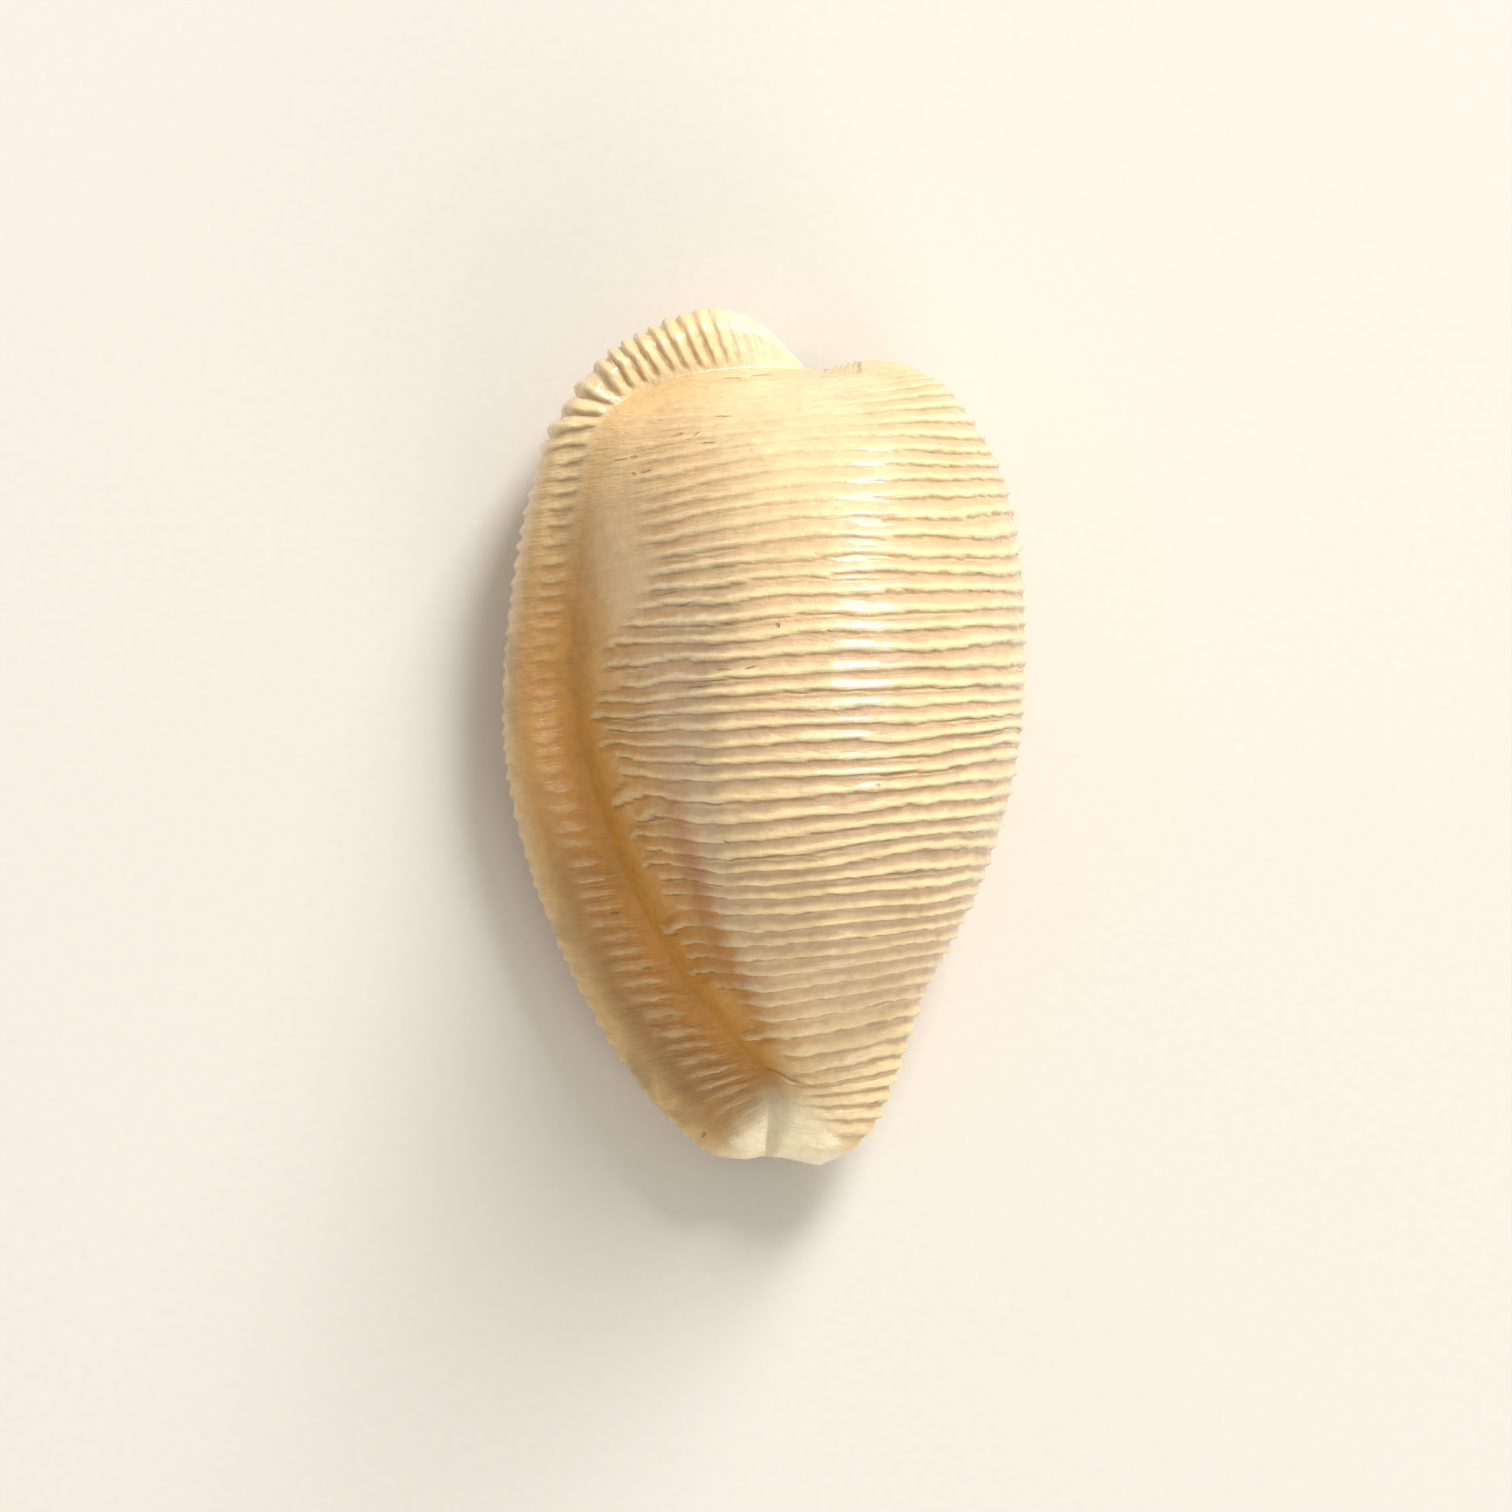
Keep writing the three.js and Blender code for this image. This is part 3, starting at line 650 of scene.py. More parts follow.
def outer_surface():
    """The smooth outside's points, the ribs' relief and number, and the tints, by row and column."""
    ribs = np.linspace(0, LAST_RIB, LAST_RIB * ROWS_PER_RIB + 1)
    s = stations(ribs)
    parts = {"points": [], "relief": [], "rounded": [], "lip": [], "rim": [], "back": []}
    for name, place, faces, relief_of, rounded_of in STRETCHES:
        t = np.linspace(0, 1, faces + 1)[: faces + (name == "base wall")]
        points = place(s, t)
        shape = points.shape[:2]
        parts["points"].append(points)
        parts["relief"].append(np.broadcast_to(relief_of(s, t), shape))
        parts["rounded"].append(np.broadcast_to(rounded_of(s, t), shape))
        parts["lip"].append(np.full(shape, float(name in ("lip underside", "lip roll", "inner lip"))))
        rim = {"lip underside": smoothstep(t, 0.7, 1), "lip roll": 1 - smoothstep(t, 0.4, 1)}
        parts["rim"].append(np.broadcast_to(rim.get(name, 0 * t), shape))
        parts["back"].append(np.full(shape, float(name in ("back left", "back right"))))
    outer = SimpleNamespace(**{name: np.concatenate(arrays, 1) for name, arrays in parts.items()})
    x, y, z = (outer.points[..., axis].copy() for axis in range(3))
    above = smoothstep(z, *UPPER_HEIGHT)
    beside_mantle = x - mantle_line(y)[..., 0]
    on_mantle = above * between(y, *MANTLE_ENDS)
    groove = band(beside_mantle, GROOVE_WIDTH) * on_mantle
    shift = mantle_shift(y)[..., 0] * on_mantle
    outer.phase = s.ribs + shift * smoothstep(-beside_mantle, -MANTLE_BLEND, MANTLE_BLEND)
    beside_trough = np.linalg.norm(outer.points[..., :2] - s.trough, axis=-1)
    start = bank_width(s.ribs) + BANK_UNEVEN * np.sin(4 * np.round(outer.phase) ** 2)
    started = smoothstep(beside_trough - start, 0, bank_fade(s.ribs))
    callus = callus_tint(x, y) * (z > CALLUS_FROM)
    worn = (1 - GROOVE_WEAR * groove) * (1 - CALLUS_COVER * callus)
    outer.relief = outer.relief * mix(1, started, outer.back) * worn
    left, right, from_y = SHORT_RIBS
    fade_x, fade_y = SHORT_FADE
    short = between(x, left, left + fade_x, right - fade_x, right) * smoothstep(y, from_y, from_y + fade_y)
    outer.relief = mix(outer.relief, SHORT_RELIEF, short * (z > SHORT_FROM))
    outer.phase = np.where(short > 0, x / SHORT_RIB_SPACING, outer.phase)
    outer.points[..., 2] += CALLUS_THICKNESS * callus - MANTLE_GROOVE * groove
    amber_width = np.where(outer.lip > 0, AMBER_LIP_WIDTH, amber_back_width(s.ribs))
    outer.amber = band(beside_trough, amber_width) * amber_strength(s.ribs) * (z > AMBER_FROM)
    outer.streak = band(beside_mantle, STREAK_WIDTH) * streak_strength(y) * above
    outer.callus = np.maximum(callus, outer.lip * (1 - smoothstep(s.ribs, *CALLUS_LIP_RIBS)))
    outer.edge = band(y - callus_edge(x)[..., 0], CRACK_WIDTH) * between(x, *CRACK_ENDS)
    past_trough = 1 - smoothstep(beside_trough, 0, LIP_TINT_FADE)
    outer.lip = mix(outer.lip, past_trough, outer.back) * smoothstep(s.ribs, *LIP_TINT_RIBS)
    # Painted warm shade: the back left of the mantle line, turned from the key light, is tinted warmer and
    # more saturated.
    outer.warm = smoothstep(-beside_mantle, -WARM_SHADE_FADE, WARM_SHADE_FADE) * outer.back
    outer.low = between(y, *PINK_RANGE)
    return outer


def callus_tint(x, y):
    """Where smooth pale callus covers the ribs of the anterior tip."""
    return smoothstep(callus_edge(x)[..., 0] - y, 0, callus_fade(x))


def hollow_surface():
    """Points of the hollow inside: the guides drawn in by the wall, at the ends lengthwise too."""
    s = stations(np.linspace(HOLLOW_INSET, LAST_RIB - HOLLOW_INSET, HOLLOW_ROWS + 1))
    over = unit(s.right - s.trough)
    edge_z = s.base_z + s.depth + LIP_BEVEL
    edge_reach = s.across * (s.half_width + LIP_BEVEL)[..., None]
    left_edge, right_edge = s.slit - edge_reach, s.slit + edge_reach
    inward = np.zeros_like(s.back)
    from_end = np.minimum(s.ribs, LAST_RIB - s.ribs)
    inward[..., 1] = np.sign(s.ribs - LAST_RIB / 2) * END_INSET * (1 - smoothstep(from_end, *INSET_RIBS))
    back = s.back + inward
    left = s.trough + over * s.wall[..., None] + inward
    right = s.right - over * s.wall[..., None] + inward
    low = mix(right_edge, right, HOLLOW_FLOOR)
    top_z, bottom_z = s.back_z - s.wall, s.base_z + s.wall
    left_z = mix(edge_z, s.trough_z - s.wall, HOLLOW_SHOULDER)
    # Each stretch is a quarter of an ellipse: its ends, its heights, and whether it sets off level.
    stretches = (
        (left_edge, left, edge_z, left_z, True),
        (left, back, left_z, top_z, False),
        (back, right, top_z, s.right_z, True),
        (right, low, s.right_z, bottom_z, False),
        (low, right_edge, bottom_z, edge_z, True),
    )
    points = []
    for (start, end, start_z, end_z, level), faces in zip(stretches, HOLLOW_FACES):
        turn = quarter(np.linspace(0, 1, faces + 1)[: faces + (start is low)])
        along, up = np.sin(turn), 1 - np.cos(turn)
        if not level:
            along, up = up, along
        if start is left:
            up = up**HOLLOW_BANK
        points.append(lift(mix(start, end, along[:, None]), mix(start_z, end_z, up)))
    return np.concatenate(points, 1)


def grid_faces(grid):
    """Quads between the vertices of a grid, facing up where rows run to -Y and columns to +X."""
    corners = (grid[:-1, :-1], grid[1:, :-1], grid[1:, 1:], grid[:-1, 1:])
    return np.stack(corners, -1).reshape(-1, 4).tolist()


def strip_faces(near, far):
    """A strip of triangles between two edges of unlike counts, walked from end to end."""
    faces = []
    i, j = 0, 0
    while i < len(near) - 1 or j < len(far) - 1:
        near_next, far_next = (i + 1) / (len(near) - 1), (j + 1) / (len(far) - 1)
        if j == len(far) - 1 or (i < len(near) - 1 and near_next <= far_next):
            faces.append((near[i], near[i + 1], far[j]))
            i += 1
        else:
            faces.append((near[i], far[j + 1], far[j]))
            j += 1
    return faces


def shell_mesh():
    """The smooth shell with what its ribs and tints are drawn from, kept on its points."""
    outer = outer_surface()
    hollow = hollow_surface()
    outer.points[..., 2] = np.maximum(outer.points[..., 2], 0)
    count = outer.points.shape[0] * outer.points.shape[1]
    outside = np.arange(count).reshape(outer.points.shape[:2])
    inside = count + np.arange(hollow.shape[0] * hollow.shape[1]).reshape(hollow.shape[:2])
    faces = grid_faces(outside) + grid_faces(inside[:, ::-1])
    faces += strip_faces(outside[0], inside[0])
    faces += strip_faces(outside[-1][::-1], inside[-1][::-1])
    faces += strip_faces(outside[::-1, 0], inside[::-1, 0])
    faces += strip_faces(outside[:, -1], inside[:, -1])
    vertices = np.concatenate([outer.points.reshape(-1, 3), hollow.reshape(-1, 3)]) * MM
    mesh = bpy.data.meshes.new("cowrie_shell")
    mesh.from_pydata(vertices.tolist(), [], [[int(v) for v in face] for face in faces])
    for name in ("relief", "phase", "rounded", *TINTS):
        values = np.zeros(len(vertices), np.float32)
        values[:count] = np.broadcast_to(getattr(outer, name), outside.shape).ravel()
        if name == "relief":
            values *= MM
        mesh.attributes.new(name, "FLOAT", "POINT").data.foreach_set("value", values)
    mesh.polygons.foreach_set("use_smooth", np.ones(len(mesh.polygons), bool))
    mesh.update()
    return mesh


# Where each tint lies, kept on the points for the material.
TINTS = ("lip", "rim", "amber", "streak", "callus", "edge", "low", "warm")

# The inputs of the rib nodes, and the setting that each gets.
RIB_INPUTS = {
    "Rib relief": "rib_relief",
    "Crest sharpness": "sharpness",
    "Wander": "wander",
    "Wander size": "wander_size",
    "Knobs": "knobs",
    "Knob size": "knob_size",
    "Strands": "strands",
    "Strand size": "strand_size",
    "Zigzag": "zigzag",
    "Zigzag size": "zigzag_size",
    "Lean": "lean",
    "Threads": "threads",
    "Seed": "seed",
}


def rib_tree(material):
    """Geometry nodes that raise the ribs along the surface and keep how near each point is to a crest.

    They also keep which side of its rib a point is on: above 0 on the side of the anterior end.
    """
    tree = bpy.data.node_groups.new("shell ribs", "GeometryNodeTree")
    tree.interface.new_socket("Geometry", in_out="INPUT", socket_type="NodeSocketGeometry")
    for name in RIB_INPUTS:
        tree.interface.new_socket(name, in_out="INPUT", socket_type="NodeSocketFloat")
    tree.interface.new_socket("Geometry", in_out="OUTPUT", socket_type="NodeSocketGeometry")
    given = add_node(tree, "NodeGroupInput").outputs
    named = {
        name: add_node(
            tree, "GeometryNodeInputNamedAttribute", {"Name": name}, data_type="FLOAT"
        ).outputs["Attribute"]
        for name in ("relief", "phase", "rounded")
    }
    place = add_node(tree, "GeometryNodeInputPosition").outputs[0]
    # Noises about 0: one bends the ribs sideways, one makes them knobby along their length, one makes a rib
    # stronger than the next, and the last frays their crests. The stretch draws a noise out along the ribs.
    noises = []
    for size, stretch, detail in (
        ("Wander size", 0.35, 2.0),
        ("Knob size", 0.7, 1.0),
        ("Strand size", 0.12, 0.0),
        ("Zigzag size", 0.6, 1.0),
    ):
        grain = add_node(tree, "ShaderNodeMath", {0: 1.0, 1: given[size]}, operation="DIVIDE").outputs[0]
        drawn = add_node(
            tree, "ShaderNodeVectorMath", {0: place, 1: (stretch, 1.0, stretch)}, operation="MULTIPLY"
        ).outputs[0]
        noise = add_node(
            tree,
            "ShaderNodeTexNoise",
            {"Vector": drawn, "W": given["Seed"], "Scale": grain, "Detail": detail},
            noise_dimensions="4D",
        ).outputs["Fac"]
        noises.append(add_node(tree, "ShaderNodeMath", {0: noise, 1: 0.5}, operation="SUBTRACT").outputs[0])
    wander, knobs, strands, zigzag = noises
    bent = named["phase"]
    for noise, amount in ((wander, "Wander"), (zigzag, "Zigzag")):
        bent = add_node(
            tree, "ShaderNodeMath", {0: noise, 1: given[amount], 2: bent}, operation="MULTIPLY_ADD"
        ).outputs[0]
    # Each rib leans over to the anterior end, so that side of it is the steeper one.
    upright = add_node(tree, "ShaderNodeMath", {0: bent, 1: 2 * math.pi}, operation="MULTIPLY").outputs[0]
    level = add_node(tree, "ShaderNodeMath", {0: upright}, operation="COSINE").outputs[0]
    angle = add_node(
        tree, "ShaderNodeMath", {0: level, 1: given["Lean"], 2: upright}, operation="MULTIPLY_ADD"
    ).outputs[0]
    side = add_node(tree, "ShaderNodeMath", {0: angle}, operation="SINE").outputs[0]
    wave = add_node(tree, "ShaderNodeMath", {0: angle}, operation="COSINE").outputs[0]
    swell = add_node(tree, "ShaderNodeMath", {0: wave, 1: 0.5, 2: 0.5}, operation="MULTIPLY_ADD").outputs[0]
    keen = add_node(
        tree,
        "ShaderNodeMix",
        {0: named["rounded"], 2: given["Crest sharpness"], 3: ROUND_CREST},
        data_type="FLOAT",
    ).outputs[0]
    crest = add_node(tree, "ShaderNodeMath", {0: swell, 1: keen}, operation="POWER").outputs[0]
    # Here and there a thin thread runs along the middle of a valley.
    hollow = add_node(tree, "ShaderNodeMath", {0: 1.0, 1: swell}, operation="SUBTRACT").outputs[0]
    thin = add_node(tree, "ShaderNodeMath", {0: hollow, 1: THREAD_THINNESS}, operation="POWER").outputs[0]
    patches = add_node(
        tree, "ShaderNodeMapRange", {"Value": strands, "From Min": 0.02, "From Max": 0.14}
    ).outputs[0]
    thread = thin
    for factor in (patches, given["Threads"]):
        thread = add_node(tree, "ShaderNodeMath", {0: thread, 1: factor}, operation="MULTIPLY").outputs[0]
    crest = add_node(tree, "ShaderNodeMath", {0: crest, 1: thread}, operation="MAXIMUM").outputs[0]
    height = add_node(tree, "ShaderNodeMath", {0: crest, 1: 0.5}, operation="SUBTRACT").outputs[0]
    for noise, amount in ((knobs, "Knobs"), (strands, "Strands")):
        uneven = add_node(
            tree, "ShaderNodeMath", {0: noise, 1: given[amount], 2: 1.0}, operation="MULTIPLY_ADD"
        ).outputs[0]
        height = add_node(tree, "ShaderNodeMath", {0: height, 1: uneven}, operation="MULTIPLY").outputs[0]
    for factor in (named["relief"], given["Rib relief"]):
        height = add_node(tree, "ShaderNodeMath", {0: height, 1: factor}, operation="MULTIPLY").outputs[0]
    normal = add_node(tree, "GeometryNodeInputNormal").outputs[0]
    offset = add_node(
        tree, "ShaderNodeVectorMath", {0: normal, "Scale": height}, operation="SCALE"
    ).outputs[0]
    kept = given["Geometry"]
    for name, value in (("crest", crest), ("side", side)):
        kept = add_node(
            tree,
            "GeometryNodeStoreNamedAttribute",
            {"Geometry": kept, "Name": name, "Value": value},
            data_type="FLOAT",
            domain="POINT",
        ).outputs[0]
    raised = add_node(tree, "GeometryNodeSetPosition", {"Geometry": kept, "Offset": offset}).outputs[0]
    realized = add_node(tree, "GeometryNodeRealizeInstances", {"Geometry": raised}).outputs[0]
    finished = add_node(
        tree, "GeometryNodeSetMaterial", {"Geometry": realized, "Material": material}
    ).outputs[0]
    add_node(tree, "NodeGroupOutput", {"Geometry": finished})
    return tree


def scratches(tree, place):
    """How near each point is to one of the scratches: 0 in the middle of it, and 1 at its rim."""
    nearest = None
    for x, y, length, width, angle in SCRATCHES:
        local = add_node(
            tree,
            "ShaderNodeMapping",
            {
                "Vector": place,
                "Location": (x * MM, y * MM, 0),
                "Rotation": (0, 0, math.radians(angle)),
                "Scale": (length * MM, width * MM, 1),
            },
            vector_type="TEXTURE",
        ).outputs[0]
        away = add_node(tree, "ShaderNodeVectorMath", {0: local}, operation="LENGTH").outputs["Value"]
        if nearest:
            away = add_node(tree, "ShaderNodeMath", {0: nearest, 1: away}, operation="MINIMUM").outputs[0]
        nearest = away
    return nearest


def shell_material(settings):
    """Aragonite shell, laid down by the mantle in thin layers along the ribs and worn on the beach.

    To the eye it is like old porcelain: creamy and a little translucent, with a soft gloss that breaks up
    into beads on the worn crests, duller valleys, and an amber stain where the trough and mantle line run.
    """
    material = bpy.data.materials.new("polished aragonite shell")
    material.use_nodes = True
    tree = material.node_tree
    tree.nodes.clear()
    amount = {
        name: add_node(tree, "ShaderNodeAttribute", attribute_name=name).outputs["Fac"]
        for name in ("crest", "side", "phase", "relief", *TINTS)
    }
    place = add_node(tree, "ShaderNodeTexCoord").outputs["Object"]
    # Noises by the size of their grain in millimetres: broad tints, cloudy bands, specks and fine pores.
    # The pores are drawn coarser than real ones, which are too fine to show from here.
    noises = {
        size: add_node(
            tree, "ShaderNodeTexNoise", {"Vector": place, "Scale": 1 / (size * MM), "Detail": 3.0}
        )
        for size in (6.0, 1.6, 0.4, 0.12)
    }
    grain = {size: noise.outputs["Fac"] for size, noise in noises.items()}
    colour = add_node(
        tree,
        "ShaderNodeMix",
        {0: grain[6.0], 6: with_alpha(settings.cream), 7: with_alpha(settings.pale_cream)},
        data_type="RGBA",
    ).outputs[2]
    # Fine growth lines run along the ribs: a noise of the rib number and of the place across the shell.
    number = add_node(
        tree, "ShaderNodeMath", {0: amount["phase"], 1: LINES_PER_RIB}, operation="MULTIPLY"
    ).outputs[0]
    across = add_node(tree, "ShaderNodeSeparateXYZ", {0: place}).outputs[0]
    across = add_node(
        tree, "ShaderNodeMath", {0: across, 1: LINE_LENGTH * MM}, operation="DIVIDE"
    ).outputs[0]
    drawn = add_node(tree, "ShaderNodeCombineXYZ", {0: number, 1: across}).outputs[0]
    lines = add_node(
        tree, "ShaderNodeTexNoise", {"Vector": drawn, "Scale": 1.0, "Detail": 2.0}
    ).outputs["Fac"]
    # The edges of the crests' tints are frayed by both noises, which lie about a half.
    frayed = add_node(
        tree, "ShaderNodeMath", {0: amount["crest"], 1: (LINE_FRAY + PORE_FRAY) / 2}, operation="SUBTRACT"
    ).outputs[0]
    for noise, far in ((lines, LINE_FRAY), (grain[0.12], PORE_FRAY)):
        frayed = add_node(
            tree, "ShaderNodeMath", {0: noise, 1: far, 2: frayed}, operation="MULTIPLY_ADD"
        ).outputs[0]
    # Valleys are tinted only where ribs stand.
    ribbed = add_node(
        tree,
        "ShaderNodeMapRange",
        {"Value": amount["relief"], "From Min": 0.02 * MM, "From Max": 0.12 * MM},
    ).outputs[0]
    off_crest = add_node(
        tree, "ShaderNodeMapRange", {"Value": amount["crest"], "From Min": 0.5, "From Max": 0.0}
    ).outputs[0]
    valley = add_node(tree, "ShaderNodeMath", {0: ribbed, 1: off_crest}, operation="MULTIPLY").outputs[0]
    pink = add_node(tree, "ShaderNodeMath", {0: valley, 1: amount["low"]}, operation="MULTIPLY").outputs[0]
    # Painted warm shade in the valleys on the left of the back, which faces away from the key light.
    warm_shaded_valley = add_node(
        tree, "ShaderNodeMath", {0: valley, 1: amount["warm"]}, operation="MULTIPLY"
    ).outputs[0]
    on_crest = add_node(
        tree, "ShaderNodeMapRange", {"Value": frayed, "From Min": 0.35, "From Max": 0.95}
    ).outputs[0]
    # Just past each crest, on the side of the anterior end, a thin brown line lies under it: partly the
    # shell's own brown line, partly painted shade on the flank that faces away from the key light.
    past = add_node(
        tree, "ShaderNodeMapRange", {"Value": amount["side"], "From Min": 0.35, "From Max": 0.95}
    ).outputs[0]
    brown_line_and_shade = past
    for factor in (ribbed, lines):
        brown_line_and_shade = add_node(tree, "ShaderNodeMath", {0: brown_line_and_shade, 1: factor}, operation="MULTIPLY").outputs[0]
    off_lip = add_node(
        tree, "ShaderNodeMapRange", {"Value": amount["lip"], "To Min": 1.0, "To Max": 0.6}
    ).outputs[0]
    bright = on_crest
    for factor in (ribbed, off_lip):
        bright = add_node(tree, "ShaderNodeMath", {0: bright, 1: factor}, operation="MULTIPLY").outputs[0]
    # Grey spots lie inside the rim, where the shell is thin enough to show dark.
    spot = add_node(
        tree, "ShaderNodeMapRange", {"Value": grain[1.6], "From Min": 0.5, "From Max": 0.62}
    ).outputs[0]
    for factor in (amount["rim"], amount["lip"]):
        spot = add_node(tree, "ShaderNodeMath", {0: spot, 1: factor}, operation="MULTIPLY").outputs[0]
    wobble = add_node(
        tree,
        "ShaderNodeVectorMath",
        {0: noises[0.12].outputs["Color"], "Scale": 0.12 * MM},
        operation="SCALE",
    ).outputs[0]
    ragged = add_node(tree, "ShaderNodeVectorMath", {0: place, 1: wobble}, operation="ADD").outputs[0]
    scratch = add_node(
        tree, "ShaderNodeMapRange", {"Value": scratches(tree, ragged), "From Min": 1.1, "From Max": 0.5}
    ).outputs[0]
    # Tints from the first laid to the last: where, which, and how strong.
    layers = (
        (valley, "#D0AC80", 0.5),
        (pink, "#CDAA94", 0.35),
        # painted warm shade on the left of the back, turned from the key light
        (amount["warm"], "#E6AE60", 0.35),
        (amount["lip"], "#AE8040", 0.85),
        (amount["amber"], "#DDA046", 0.85),
        # painted warm shade in the valleys left of the mantle line
        (warm_shaded_valley, "#D29A52", 0.6),
        # partly the ribs' own brown line, partly painted shade under each crest
        (brown_line_and_shade, "#8A5824", 1.0),
        (bright, "#FDE6B8", 0.85),
        (amount["streak"], "#C07A26", 0.95),
        (amount["rim"], "#F0CE94", 0.75),
        (spot, "#8A7250", 0.5),
        (amount["callus"], "#FFF2D2", 0.95),
        (amount["edge"], "#7A5A34", 0.7),
        (scratch, "#8A6C46", 0.5),
    )
    for share, tint, strength in layers:
        part = add_node(tree, "ShaderNodeMath", {0: share, 1: strength}, operation="MULTIPLY").outputs[0]
        colour = add_node(
            tree, "ShaderNodeMix", {0: part, 6: colour, 7: srgb(tint)}, data_type="RGBA"
        ).outputs[2]
    # Bands and specks make it lighter and darker.
    for size, low, high in ((1.6, 0.92, 1.06), (0.4, 0.93, 1.05)):
        cloud = add_node(
            tree,
            "ShaderNodeMapRange",
            {"Value": grain[size], "From Min": 0.3, "From Max": 0.7, "To Min": low, "To Max": high},
        ).outputs[0]
        colour = add_node(
            tree, "ShaderNodeVectorMath", {0: colour, "Scale": cloud}, operation="SCALE"
        ).outputs[0]
    # Valleys are duller than crests, and the callus is the glossiest.
    rough = add_node(
        tree,
        "ShaderNodeMapRange",
        {"Value": frayed, "From Min": 0.1, "From Max": 0.9, "To Min": 0.48, "To Max": 0.24},
    ).outputs[0]
    rough = add_node(
        tree, "ShaderNodeMix", {0: amount["callus"], 2: rough, 3: 0.2}, data_type="FLOAT"
    ).outputs[0]
    dent = add_node(
        tree, "ShaderNodeBump", {"Height": scratch, "Distance": -0.05 * MM, "Strength": 1.0}
    ).outputs[0]
    for rough_by, height in ((grain[0.4], 0.035), (lines, 0.05), (grain[0.12], 0.018)):
        dent = add_node(
            tree,
            "ShaderNodeBump",
            {"Height": rough_by, "Distance": height * MM, "Strength": 1.0, "Normal": dent},
        ).outputs[0]
    surface = add_node(
        tree,
        "ShaderNodeBsdfPrincipled",
        {
            "Base Color": colour,
            "Roughness": rough,
            "IOR": 1.55,
            "Normal": dent,
            "Subsurface Weight": 0.15,
            "Subsurface Radius": (1.0, 0.6, 0.35),
            "Subsurface Scale": 0.22 * MM,
            "Coat Weight": 0.45,
            "Coat Roughness": 0.1,
        },
    )
    add_node(tree, "ShaderNodeOutputMaterial", {"Surface": surface.outputs[0]})
    return material


def floor_material(settings):
    """Matt paper board: even, pale and without gloss."""
    material = bpy.data.materials.new("matt paper board")
    material.use_nodes = True
    tree = material.node_tree
    tree.nodes.clear()
    place = add_node(tree, "ShaderNodeTexCoord").outputs["Object"]
    fibres = add_node(tree, "ShaderNodeTexNoise", {"Vector": place, "Scale": 1 / (0.4 * MM)}).outputs["Fac"]
    tone = add_node(
        tree,
        "ShaderNodeMix",
        {0: fibres, 6: with_alpha(settings.floor_colour), 7: srgb("#E9E7E3")},
        data_type="RGBA",
    ).outputs[2]
    surface = add_node(tree, "ShaderNodeBsdfPrincipled", {"Base Color": tone, "Roughness": 0.9})
    add_node(tree, "ShaderNodeOutputMaterial", {"Surface": surface.outputs[0]})
    return material


def with_alpha(colour):
    """A colour property, which Blender keeps linear, with its alpha."""
    return (*colour[:3], 1.0)


class ShellSettings(bpy.types.PropertyGroup):
    """What a user would change on the shell."""

    rib_relief: bpy.props.FloatProperty(
        name="Rib relief", description="How high the ribs stand, against the real shell's", default=1.0
    )
    sharpness: bpy.props.FloatProperty(
        name="Crest sharpness", description="More makes the crests narrower", default=2.0
    )
    wander: bpy.props.FloatProperty(
        name="Wander", description="How far the ribs stray sideways, in rib spacings", default=1.4
    )
    wander_size: bpy.props.FloatProperty(
        name="Wander size", description="Length of the ribs' bends", default=2.2 * MM, unit="LENGTH"
    )
    knobs: bpy.props.FloatProperty(
        name="Knobs", description="How uneven the ribs are along their length", default=1.2
    )
    knob_size: bpy.props.FloatProperty(
        name="Knob size", description="Length of the uneven places", default=0.9 * MM, unit="LENGTH"
    )
    strands: bpy.props.FloatProperty(
        name="Strands", description="How much one rib is stronger than the next", default=1.6
    )
    strand_size: bpy.props.FloatProperty(
        name="Strand size", description="Width of a run of like ribs", default=0.8 * MM, unit="LENGTH"
    )
    zigzag: bpy.props.FloatProperty(
        name="Zigzag", description="How far the crests fray sideways, in rib spacings", default=0.5
    )
    zigzag_size: bpy.props.FloatProperty(
        name="Zigzag size", description="Length of one fray", default=0.32 * MM, unit="LENGTH"
    )
    lean: bpy.props.FloatProperty(
        name="Lean", description="Below 0 the ribs lean to the anterior end", default=-0.45
    )
    threads: bpy.props.FloatProperty(
        name="Threads", description="How high the thin threads between the ribs stand", default=0.5
    )
    seed: bpy.props.FloatProperty(name="Seed", description="Chooses other bends and knobs", default=3.0)
    cream: bpy.props.FloatVectorProperty(
        name="Cream",
        description="The shell's main colour",
        subtype="COLOR",
        size=3,
        default=srgb("#ECCF9C")[:3],
    )
    pale_cream: bpy.props.FloatVectorProperty(
        name="Pale cream",
        description="Its paler clouds",
        subtype="COLOR",
        size=3,
        default=srgb("#F3DCB2")[:3],
    )


class StageSettings(bpy.types.PropertyGroup):
    """What a user would change on the stage."""

    floor_size: bpy.props.FloatProperty(
        name="Floor size", description="Width of the square floor", default=6.0, unit="LENGTH"
    )
    floor_colour: bpy.props.FloatVectorProperty(
        name="Floor colour",
        description="The floor's pale tone",
        subtype="COLOR",
        size=3,
        default=srgb("#EFEDE9")[:3],
    )
    key_power: bpy.props.FloatProperty(
        name="Key light", description="Power of the window-like light", default=5.8, unit="POWER"
    )
    fill_power: bpy.props.FloatProperty(
        name="Fill light", description="Power of the anterior end's weak light", default=0.9, unit="POWER"
    )
    sky: bpy.props.FloatProperty(
        name="Sky", description="Strength of the light from all round", default=0.56
    )


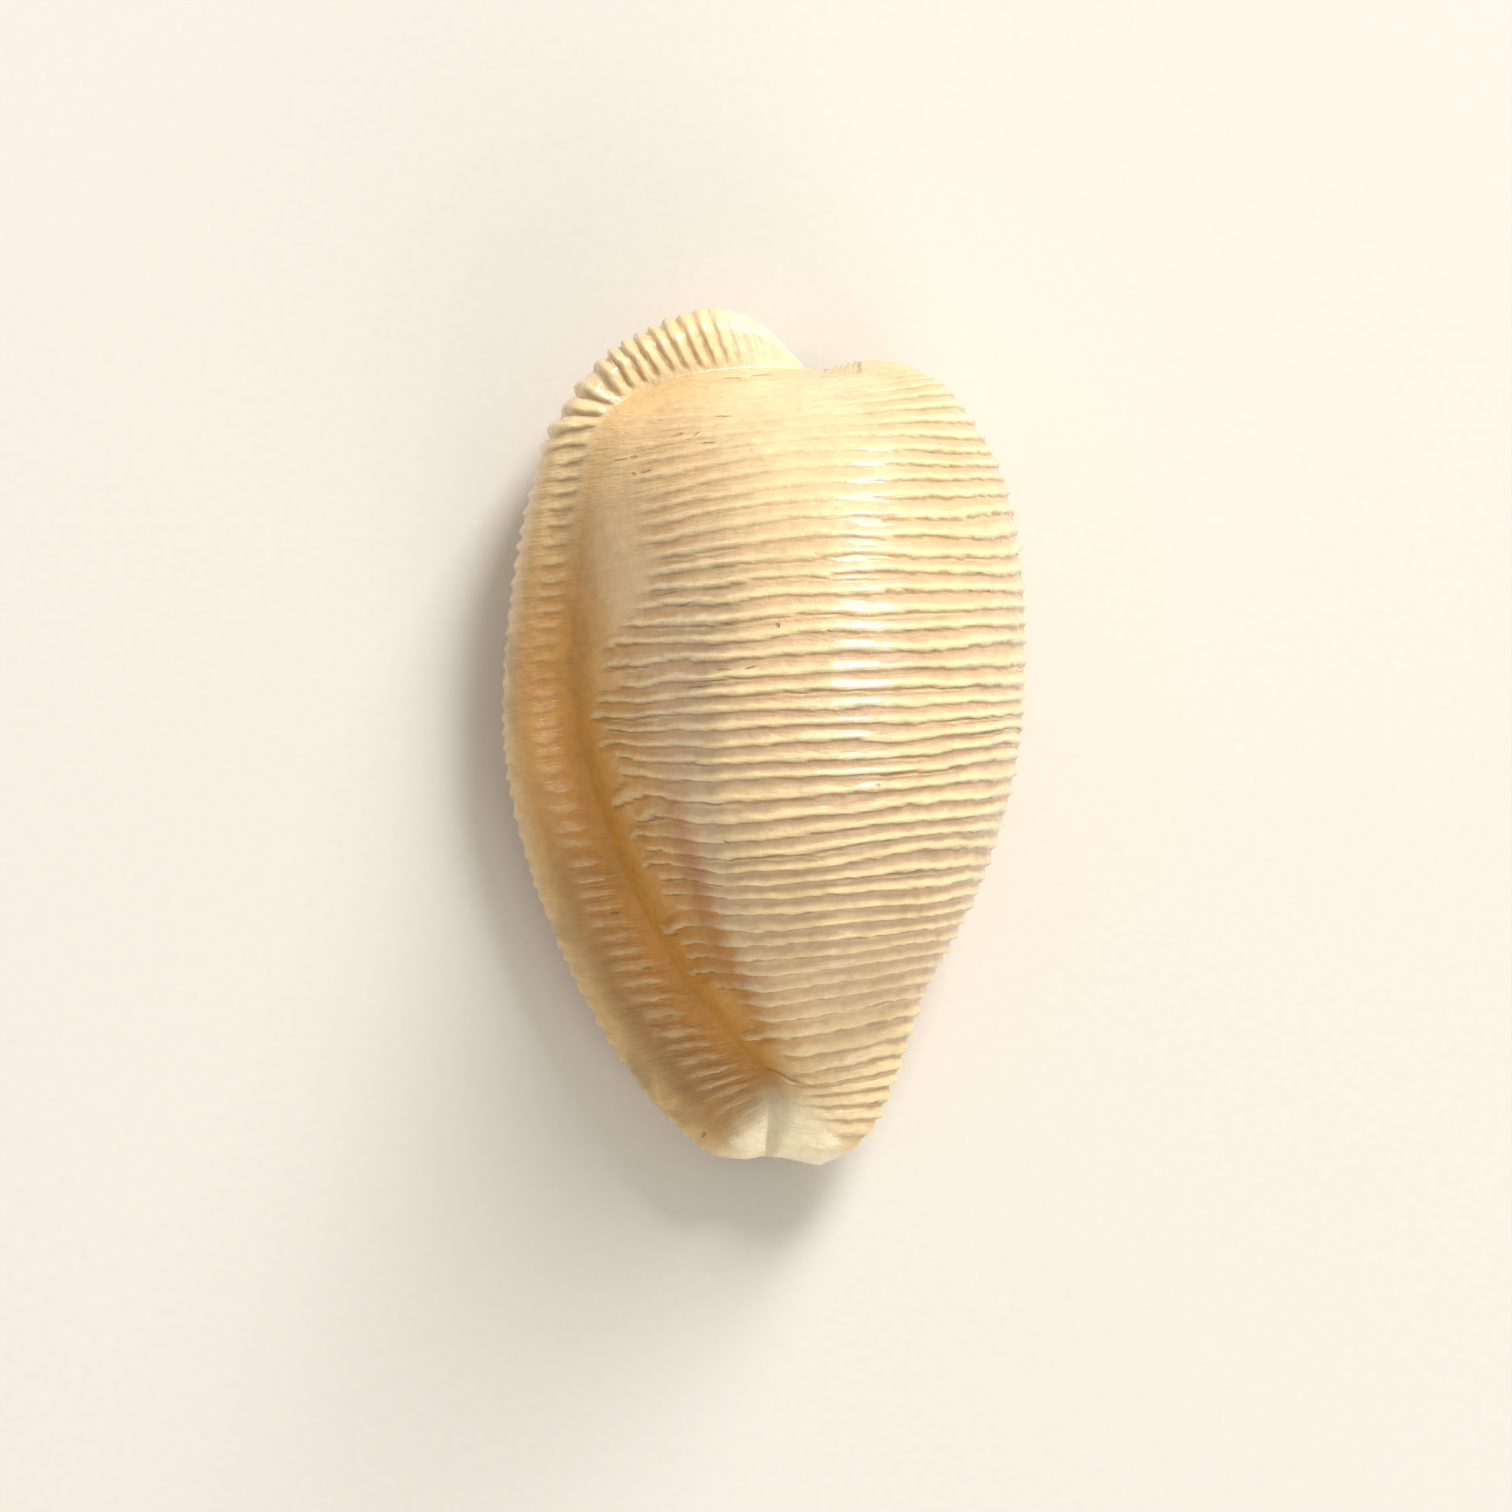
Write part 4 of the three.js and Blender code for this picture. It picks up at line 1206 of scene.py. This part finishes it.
class COWRIE_OT_shell(bpy.types.Operator):
    """Makes the ribbed shell"""

    bl_idname = "cowrie.shell"
    bl_label = "Shell"

    def execute(self, context):
        settings = context.scene.cowrie_shell
        rough = bpy.data.objects.new("smooth_shell", shell_mesh())
        context.collection.objects.link(rough)
        ribs = rough.modifiers.new("ribs", "NODES")
        ribs.node_group = rib_tree(shell_material(settings))
        for socket in ribs.node_group.interface.items_tree:
            if socket.name in RIB_INPUTS:
                ribs[socket.identifier] = getattr(settings, RIB_INPUTS[socket.name])
        graph = context.evaluated_depsgraph_get()
        finished = bpy.data.meshes.new_from_object(
            rough.evaluated_get(graph), preserve_all_data_layers=True, depsgraph=graph
        )
        rough.modifiers.remove(ribs)
        rest_on_floor(finished)
        piece = bpy.data.objects.new("ribbed_shell", finished)
        context.collection.objects.link(piece)
        bpy.data.objects.remove(rough)
        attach(piece, "root")
        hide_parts("shell")
        return {"FINISHED"}


def rest_on_floor(mesh):
    """Wears the base flat at the floor, as the real shell is where it rests."""
    points = np.empty(len(mesh.vertices) * 3, np.float32)
    mesh.vertices.foreach_get("co", points)
    points[2::3] = np.maximum(points[2::3], 0)
    mesh.vertices.foreach_set("co", points)
    mesh.update()


def add_area_light(context, name, place, size, power, tint):
    """A soft light like a window, as wide and high as size says, that faces the shell."""
    light = bpy.data.lights.new(name, "AREA")
    light.shape = "RECTANGLE"
    light.size, light.size_y = size
    light.energy = power
    light.color = srgb(tint)[:3]
    holder = bpy.data.objects.new(name, light)
    holder.location = place
    holder.rotation_euler = (-Vector(place)).to_track_quat("-Z", "Y").to_euler()
    context.collection.objects.link(holder)
    return holder


class COWRIE_OT_stage(bpy.types.Operator):
    """Makes the floor, the lights and the camera"""

    bl_idname = "cowrie.stage"
    bl_label = "Stage"

    def execute(self, context):
        settings = context.scene.cowrie_stage
        half = settings.floor_size / 2
        mesh = bpy.data.meshes.new("floor")
        corners = [(x * half, y * half, 0) for x, y in ((-1, -1), (1, -1), (1, 1), (-1, 1))]
        mesh.from_pydata(corners, [], [(0, 1, 2, 3)])
        mesh.materials.append(floor_material(settings))
        floor = bpy.data.objects.new("floor", mesh)
        context.collection.objects.link(floor)
        for name, place, size, power, tint in (
            ("key_light", (0.31, 0.56, 0.45), (0.2, 0.5), settings.key_power, "#FFFDFA"),
            ("fill_light", (0.3, -0.45, 0.35), (0.3, 0.3), settings.fill_power, "#FFF8EE"),
        ):
            add_area_light(context, name, place, size, power, tint)
        world = bpy.data.worlds.new("studio")
        world.use_nodes = True
        world.node_tree.nodes.clear()
        sky = add_node(
            world.node_tree, "ShaderNodeBackground", {"Color": srgb("#F6EEE0"), "Strength": settings.sky}
        )
        add_node(world.node_tree, "ShaderNodeOutputWorld", {"Surface": sky.outputs[0]})
        context.scene.world = world
        context.scene.view_settings.view_transform = "Standard"
        camera = bpy.data.cameras.new("camera")
        camera.sensor_width = SENSOR_WIDTH
        camera.lens = SENSOR_WIDTH * (CAMERA_DISTANCE - MARGIN_HEIGHT) / FRAME_WIDTH
        camera.clip_end = 10
        holder = bpy.data.objects.new("camera", camera)
        holder.location = (FRAME_CENTRE[0] * MM, FRAME_CENTRE[1] * MM, CAMERA_DISTANCE * MM)
        context.collection.objects.link(holder)
        context.scene.camera = holder
        return {"FINISHED"}


class COWRIE_PT_panel(bpy.types.Panel):
    """The shell's settings and makers"""

    bl_idname = "COWRIE_PT_panel"
    bl_label = "Cowrie"
    bl_space_type = "VIEW_3D"
    bl_region_type = "UI"
    bl_category = "Cowrie"

    def draw(self, context):
        for settings, operator in (
            (context.scene.cowrie_shell, COWRIE_OT_shell),
            (context.scene.cowrie_stage, COWRIE_OT_stage),
        ):
            box = self.layout.box()
            for name in settings.bl_rna.properties.keys():
                if name not in ("rna_type", "name"):
                    box.prop(settings, name)
            box.operator(operator.bl_idname)


CLASSES = (ShellSettings, StageSettings, COWRIE_OT_shell, COWRIE_OT_stage, COWRIE_PT_panel)


def register():
    for cls in CLASSES:
        bpy.utils.register_class(cls)
    bpy.types.Scene.cowrie_shell = bpy.props.PointerProperty(type=ShellSettings)
    bpy.types.Scene.cowrie_stage = bpy.props.PointerProperty(type=StageSettings)


def unregister():
    del bpy.types.Scene.cowrie_shell
    del bpy.types.Scene.cowrie_stage
    for cls in reversed(CLASSES):
        bpy.utils.unregister_class(cls)


def main():
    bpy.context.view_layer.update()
    register()
    bpy.ops.cowrie.shell()
    bpy.ops.cowrie.stage()


if __name__ == "__main__":
    main()
